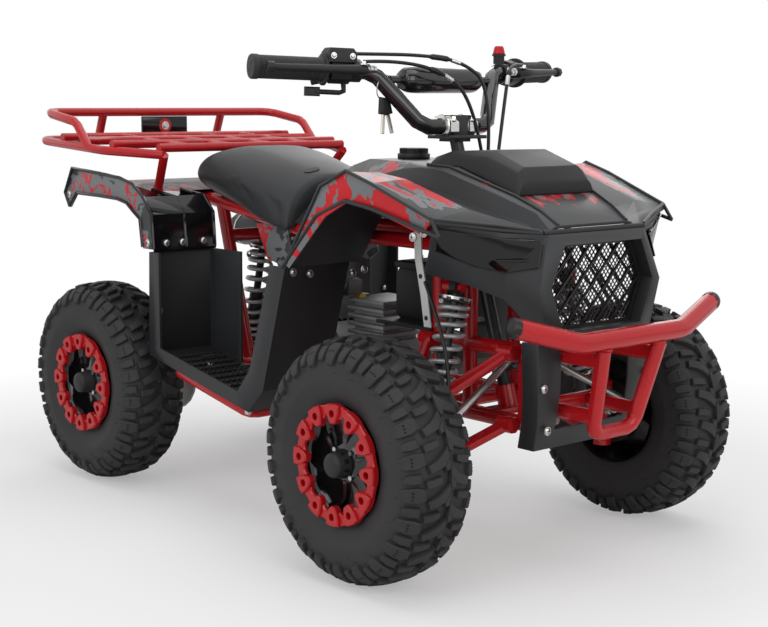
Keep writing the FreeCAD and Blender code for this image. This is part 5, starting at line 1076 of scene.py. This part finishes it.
# Each row: its place ahead, foot and top, then its points' shares of the half width and of the height.
saddle_half = 128
saddle_rows = (
    (-377, 443, 507, (0.66, 0.79, 0.8, 0.76, 0.62, 0.4, 0.18), (0.0, -0.34, -0.05, 0.28, 0.62, 0.88, 0.98)),
    (-388, 444, 512, (0.67, 0.8, 0.81, 0.78, 0.64, 0.41, 0.18), (0.0, -0.33, -0.02, 0.32, 0.68, 0.92, 1.0)),
    (-434, 451, 527, (0.69, 0.85, 0.88, 0.86, 0.73, 0.48, 0.2), (0.0, -0.27, 0.0, 0.34, 0.72, 0.95, 1.02)),
    (-472, 456, 535, (0.69, 0.88, 0.92, 0.9, 0.78, 0.52, 0.2), (0.0, -0.15, 0.1, 0.42, 0.76, 0.96, 1.02)),
    (-510, 462, 542, (0.69, 0.9, 0.96, 0.94, 0.82, 0.56, 0.22), (0.0, -0.04, 0.2, 0.52, 0.82, 0.98, 1.02)),
    (-548, 467, 547, (0.69, 0.91, 0.98, 0.97, 0.86, 0.58, 0.24), (0.0, 0.08, 0.3, 0.6, 0.86, 1.0, 1.03)),
    (-583, 472, 549, (0.69, 0.92, 0.99, 0.98, 0.88, 0.6, 0.24), (0.0, 0.18, 0.38, 0.66, 0.9, 1.0, 1.02)),
    (-606, 475, 541, (0.68, 0.88, 0.96, 0.94, 0.84, 0.58, 0.24), (0.0, 0.28, 0.45, 0.68, 0.88, 0.98, 1.0)),
    (-618, 477, 526, (0.66, 0.82, 0.9, 0.88, 0.78, 0.52, 0.22), (0.0, 0.36, 0.5, 0.7, 0.85, 0.94, 0.96)),
)


def saddle_form():
    """The saddle as one closed loft, a little under its final size, for the cloth to fill out."""
    points = []
    for x, foot, top, wides, rises in saddle_rows:
        half_row = [on_bike(x, -saddle_half * wide, foot + (top - foot) * rise)
                    for wide, rise in zip(wides, rises)]
        points += half_row + [Vector((p.x, -p.y, p.z)) for p in reversed(half_row)]
    count = 2 * len(saddle_rows[0][3])
    ends = [tuple(range(count)), tuple(range(len(points) - count, len(points)))]
    return points, walls(count, len(saddle_rows)) + ends


saddle = made("saddle_cover", [saddle_form()], [vinyl], "chassis", crease=170)


def settled(piece):
    """Apply what the piece's modifiers have made of it, and take them off."""
    graph = bpy.context.evaluated_depsgraph_get()
    graph.update()
    data = bpy.data.meshes.new_from_object(piece.evaluated_get(graph))
    piece.modifiers.clear()
    piece.data = data
    for side in data.polygons:
        side.use_smooth = True


rounding = saddle.modifiers.new("rounding", "SUBSURF")
rounding.levels = 2
remesh = saddle.modifiers.new("skin", "REMESH")
remesh.mode = "VOXEL"
remesh.voxel_size = 0.005
settled(saddle)


def filled_out(piece, pressure, cap, foot_rise):
    """Blow the cover up a little with Blender's cloth, no point further than cap, in metres.

    The foot stays where it is, and the cover is free from foot_rise above it.
    """
    before = [vertex.co.copy() for vertex in piece.data.vertices]
    cloth = piece.modifiers.new("cloth", "CLOTH")
    cloth.settings.use_pressure = True
    cloth.settings.uniform_pressure_force = pressure
    cloth.settings.quality = 5
    cloth.settings.effector_weights.gravity = 0
    last_frame = 20
    cloth.point_cache.frame_start, cloth.point_cache.frame_end = 1, last_frame
    scene = bpy.context.scene
    for frame_number in range(1, last_frame + 1):
        scene.frame_set(frame_number)
    graph = bpy.context.evaluated_depsgraph_get()
    blown = piece.evaluated_get(graph).to_mesh()
    after = [vertex.co.copy() for vertex in blown.vertices]
    piece.evaluated_get(graph).to_mesh_clear()
    piece.modifiers.remove(cloth)
    scene.frame_set(1)
    lowest = min(spot.z for spot in before)
    for vertex, start, end in zip(piece.data.vertices, before, after):
        move = end - start
        if move.length > cap:
            move *= cap / move.length
        vertex.co = start + move * min(1.0, max(0.0, (start.z - lowest) / foot_rise))


filled_out(saddle, 4.0, 0.006, 0.03)
rounding = saddle.modifiers.new("rounding", "SUBSURF")
rounding.levels = rounding.render_levels = 1
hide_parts("seat")

# An oval tab is pressed into the cover near its nose, on the right.
cover = BVHTree.FromPolygons([vertex.co.copy() for vertex in saddle.data.vertices],
                             [tuple(side.vertices) for side in saddle.data.polygons])
tab_spots = []
tab_steps = 24
for step in range(tab_steps):
    angle = 2 * math.pi * step / tab_steps
    above = on_bike(-404 + 5.5 * math.sin(angle), -36 + 15 * math.cos(angle), 600)
    tab_spots.append(cover.ray_cast(above, Vector((0, 0, -1)))[:2])
points = [hit + normal * lift for lift in (-0.002, 0.0012) for hit, normal in tab_spots]
sides = [tuple(range(tab_steps)), tuple(range(tab_steps, 2 * tab_steps))] + walls(tab_steps, 2)
made("saddle_tab", [(points, sides)], [deep_black], "chassis")


# Handlebar, grips and hand controls
# Bent black tube in a bright cast clamp, with ribbed rubber grips, ball-ended levers, a throttle
# box with a thumb lever on the right, a stop switch with a red cap on the left and a padded brace.

bar_black = natural("bar_black_paint", (0.012, 0.012, 0.013), 0.18, coat=0.6, mottle=0.08, grain=120,
                    depth=0.0001)
grip_rubber = natural("grip_rubber", (0.020, 0.020, 0.021), 0.55, mottle=0.08, grain=1200)
dress("handlebar", bar_black)
dress("hand_controls", deep_black, edge=0.8)


def grip_spot(side, along, ahead=0.0, rise=0.0):
    """A place along the handlebar's end from its inner bend, so far ahead of it and above it, in mm."""
    bend, end = Vector((-161, 120 * side, 672)), Vector((-217, 291 * side, 677))
    run = (end - bend).normalized()
    forward = Vector((-run.y, run.x, 0)).normalized() * -side
    return on_bike(*(bend + run * along + forward * ahead + Vector((0, 0, rise))))


def grip_parts(side):
    """A grip as turned rings along the bar: flange, ribs and a thicker end with a small hole."""
    stations = [(72.5, 12), (72.8, 21), (73.6, 22.6), (76, 22.6), (77, 21.4), (77.4, 17.4), (82, 16.6)]
    for rib in range(27):
        at = 84.0 + rib * 3.2
        stations += [(at, 15.6), (at + 0.6, 16.3), (at + 2.0, 16.3), (at + 2.6, 15.6)]
    stations += [(170.6, 15.8), (171.2, 17.2), (179.0, 17.4), (180.8, 16.2), (181.2, 5.0), (179.0, 3.4)]
    line = [grip_spot(side, along) for along, _ in stations]
    return tube_run(line, [radius for _, radius in stations], 28)


made("ribbed_grips", [grip_parts(-1), grip_parts(1)], [grip_rubber], "steering", crease=50)
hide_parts("grips")

# Lever blades, broader than their cores, with a flat root at the perch.
blades, bright, housings = [], [], []
blade_line = ((24, 31, 6.5), (34, 36.5, 7.5), (50, 38, 6.8), (72, 36.5, 6.0), (110, 35, 5.4), (150, 33, 4.8),
              (158, 32.5, 4.6))
for side in (-1, 1):
    blades.append(tube_run([grip_spot(side, at, ahead) for at, ahead, _ in blade_line],
                           [radius for _, _, radius in blade_line], 14))
    housings.append(rounded_bar(grip_spot(side, 29, 21), grip_spot(side, 29, 31) - grip_spot(side, 29, 11),
                                (0, 0, 1), 26, 17, 8, 0.3))
    bright += hex_bolt(grip_spot(side, 29, 36, 7.5), (0, 0, 1), 9, 5)
    bright += hex_bolt(grip_spot(side, 24, 14.5, 5), grip_spot(side, 24, 20) - grip_spot(side, 24, 10), 7, 4)
    inward = (grip_spot(side, 0, 30) - grip_spot(side, 20, 36)).normalized()
    adjuster = grip_spot(side, 22, 30, 2)
    bright.append(tube_run([adjuster, adjuster + inward * 0.018], 3.2, 14))
    for turn in (5, 11):
        nut = adjuster + inward * turn / 1000
        bright.append(tube_run([nut, nut + inward * 0.0042], 5.4, 12))

# The throttle's box and its screws, and the bent thumb lever with its paddle, on the right.
right_grip = grip_spot(-1, 60) - grip_spot(-1, 40)
housings.append(rounded_bar(grip_spot(-1, 52, 4, 16), right_grip, (0, 0, 1), 42, 30, 14, 0.25))
for at in (38, 66):
    bright += pan_screw(grip_spot(-1, at, 19.5, 19), grip_spot(-1, at, 20) - grip_spot(-1, at, 10), 3.4)[:2]
thumb = ((45, 0, -14), (45, 2, -22), (45, 3, -29), (52, 4, -31.5), (90, 4, -31))
blades.append(tube_run([grip_spot(-1, *place) for place in thumb], 3.6, 10))
blades.append(rounded_bar(grip_spot(-1, 92, 2, -31), right_grip, (0.95, -0.3, 0), 22, 13, 5, 0.3))
made("lever_blades", blades, [deep_black], "steering")
made("lever_housings", housings, [deep_black], "steering")
made("lever_fittings", bright, [bolt_steel], "steering", crease=30)

# The stop switch stands on the left clamp: a black stem and a red tapered cap.
stem = grip_spot(1, 28, -4, 14)
switch = [turned_along(stem, (0, 0, 1), ((0, 8.5), (12, 8.5)), 20),
          turned_along(stem, (0, 0, 1), ((12, 10.5), (15, 10.5)), 20),
          (*turned_along(stem, (0, 0, 1), ((15, 8.5), (16, 9.4), (25, 7.2), (27, 5.6)), 20), 1)]
switch_red = natural("switch_cap", (0.52, 0.010, 0.012), 0.35, grain=700)
made("stop_switch", switch, [deep_black, switch_red], "steering")

# Cast clamp round the middle of the bar, in two halves with four bolts.
clamp_alloy = natural("polished_clamp", (0.62, 0.62, 0.60), 0.22, metallic=1.0, mottle=0.12, grain=260)
clamps = []
for y in (-19, 19):
    middle = on_bike(-117, y, 595)
    clamps.append(turned_along(middle, (0, 1, 0), ((-9, 15.5), (-8, 17.5), (8, 17.5), (9, 15.5)), 28))
    for x in (-14, 14):
        clamps.append(block_at(middle + Vector((x / 1000, 0, 0)), (12, 16, 17), 0.1))
        clamps += hex_bolt(middle + Vector((x * 1.1 / 1000, 0, 0.0085)), (0, 0, 1), 9, 6)
made("bar_clamps", clamps, [clamp_alloy], "steering", crease=30)
bracket = block_at(on_bike(-112, 0, 580), (46, 74, 5), 0.1)
made("clamp_plate", [bracket], [satin_black], "steering")


# Foam sleeve on the brace, in a glossy cover that creases lengthwise.
def sleeve_form():
    """The sleeve, turned about the brace and drawn in at its ends, with its creases."""
    half, radius, steps = 74, 19.0, 60
    middle = on_bike(-150, 0, 661)
    rings = []
    for step in range(steps + 1):
        y = -half + 2 * half * step / steps
        rings.append((y, radius * (1 - abs(y / half) ** 10 * 0.28)))
    points, faces = turned_along(middle, (0, 1, 0), rings, 40)
    for index, spot in enumerate(points):
        out = Vector((spot.x - middle.x, 0, spot.z - middle.z))
        if out.length > 0.004:
            fold = noise.noise(Vector((spot.x * 160, spot.y * 14, spot.z * 160)))
            points[index] = spot + out.normalized() * 0.0011 * fold
    return points, faces


cover_gloss = natural("sleeve_cover", (0.008, 0.008, 0.009), 0.16, coat=0.6, mottle=0.1, grain=90)
sleeve = made("brace_sleeve", [sleeve_form()], [cover_gloss], "steering", crease=60)
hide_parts("bar_pad")


# Control cables
# Black-sheathed cables from the throttle box and both levers, looped down past the clamp to the
# cowl, each with a rubber boot and a bright adjuster, and a brake cable from each front drum.

sheath = natural("cable_sheath", (0.011, 0.011, 0.012), 0.34, mottle=0.06, grain=900)


def smooth_line(points):
    """Points along a smooth spline whose control points are the cable's route, in millimetres."""
    curve = bpy.data.curves.new("route", "CURVE")
    curve.dimensions = "3D"
    spline = curve.splines.new("NURBS")
    spline.points.add(len(points) - 1)
    for spot, point in zip(spline.points, points):
        spot.co = (*on_bike(*point), 1)
    spline.order_u = 3
    spline.use_endpoint_u = True
    spline.resolution_u = 14
    holder = bpy.data.objects.new("route", curve)
    line = [vertex.co.copy() for vertex in bpy.data.meshes.new_from_object(holder).vertices]
    bpy.data.objects.remove(holder)
    return line


bar_rise_set, bar_rise_half, corner_share, seat_gap = 150, 98, 1.0824, 0.3
cable_foot, cable_lift, cable_tuck = 568, 128, -0.078


def bar_route(side, start, shares):
    """A cable's route from a place on the bar, then by shares of the bar's rise, in millimetres."""
    spot = grip_spot(side, *start)
    first = ((spot.x - front_axle) * 1000, spot.y * 1000, spot.z * 1000)
    return [first] + [(-bar_rise_set * back, bar_rise_half * wide, cable_foot + cable_lift * rise)
                      for back, wide, rise in shares]


box_rise = (18 + 2.5) * corner_share + seat_gap
arm_rise = (8 + 2.5) * corner_share + seat_gap
routes = (
    bar_route(-1, (52, 0, box_rise), ((1.07, -1.3, 1), (0.93, -0.5, 1), (0.78, 0.12, 0.94),
                                      (0.65, 0.54, 0.66), (0.65, 0.5, cable_tuck))),
    bar_route(-1, (28.5, 36, arm_rise), ((0.84, -1.15, 0.93), (0.74, -0.4, 0.84), (0.65, 0.15, 0.54),
                                         (0.63, 0.33, cable_tuck))),
    bar_route(1, (28.5, 36, arm_rise), ((0.84, 1.25, 0.93), (0.7, 0.95, 0.7), (0.65, 0.72, cable_tuck))),
)
cables = []
for route in routes:
    line = smooth_line(route)
    cables.append(tube_run(line, 2.6, 12))
    first, second = int(len(line) * 0.44), int(len(line) * 0.56)
    boot = [2.8] + [4.2] * max(1, second - first - 2) + [2.8]
    cables.append(tube_run(line[first:first + len(boot)], boot, 14))
    cables.append((*tube_run(line[second:second + 5], 3.3, 12), 1))
made("bar_cables", cables, [sheath, bare_steel], "steering")
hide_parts("control_cables")

# Each front drum's cable climbs from its inner face, ahead of the arms, to the fender's underside.
drum_face, drum_radius, drum_top, climb = 219.95, 48, 189, 203
drum_shares = ((0.75, 0.03, 0), (1.3, 0.3, 0.1), (1.75, 0.5, 0.3), (1.1, 0.9, 0.66), (0, 1.15, 1))
for name, side in (("right", -1), ("left", 1)):
    line = smooth_line([(drum_radius * ahead, (drum_face - drum_radius * inboard) * side,
                         drum_top + climb * rise) for ahead, inboard, rise in drum_shares])
    parts = [tube_run(line, 2.5, 12), (*tube_run(line[:5], 3.6, 12), 1), (*tube_run(line[5:7], 5.2, 6), 1)]
    piece = made("drum_cable_" + name, parts, [sheath, bare_steel], "upright_" + name)
    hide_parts("brake_cable_" + name)


# Two keys hang from a split ring on the right riser of the bar.
key_steel = natural("nickel_key", (0.55, 0.52, 0.46), 0.28, metallic=1.0, mottle=0.1, grain=500)
ring_middle = on_bike(-150, -108, 650)
ring = [ring_middle + Vector((0.004 * math.sin(angle), 0.013 * math.cos(angle), 0.017 * math.sin(angle)))
        for angle in (2 * math.pi * step / 36 for step in range(37))]
keys = [tube_run(ring, 0.8, 8, capped=False)]
for lean in (-0.16, 0.2):
    top = ring_middle - Vector((0, 0, 0.015))
    down = Vector((0.12, lean, -1)).normalized()
    keys.append((*rounded_bar(top + down * 0.012, down, (1, 0, 0.1), 24, 17, 3.2, 0.3), 1))
    keys.append(rounded_bar(top + down * 0.037, down, (1, 0, 0.1), 28, 6, 1.6, 0.2))
made("ignition_keys", keys, [key_steel, deep_black], "steering")
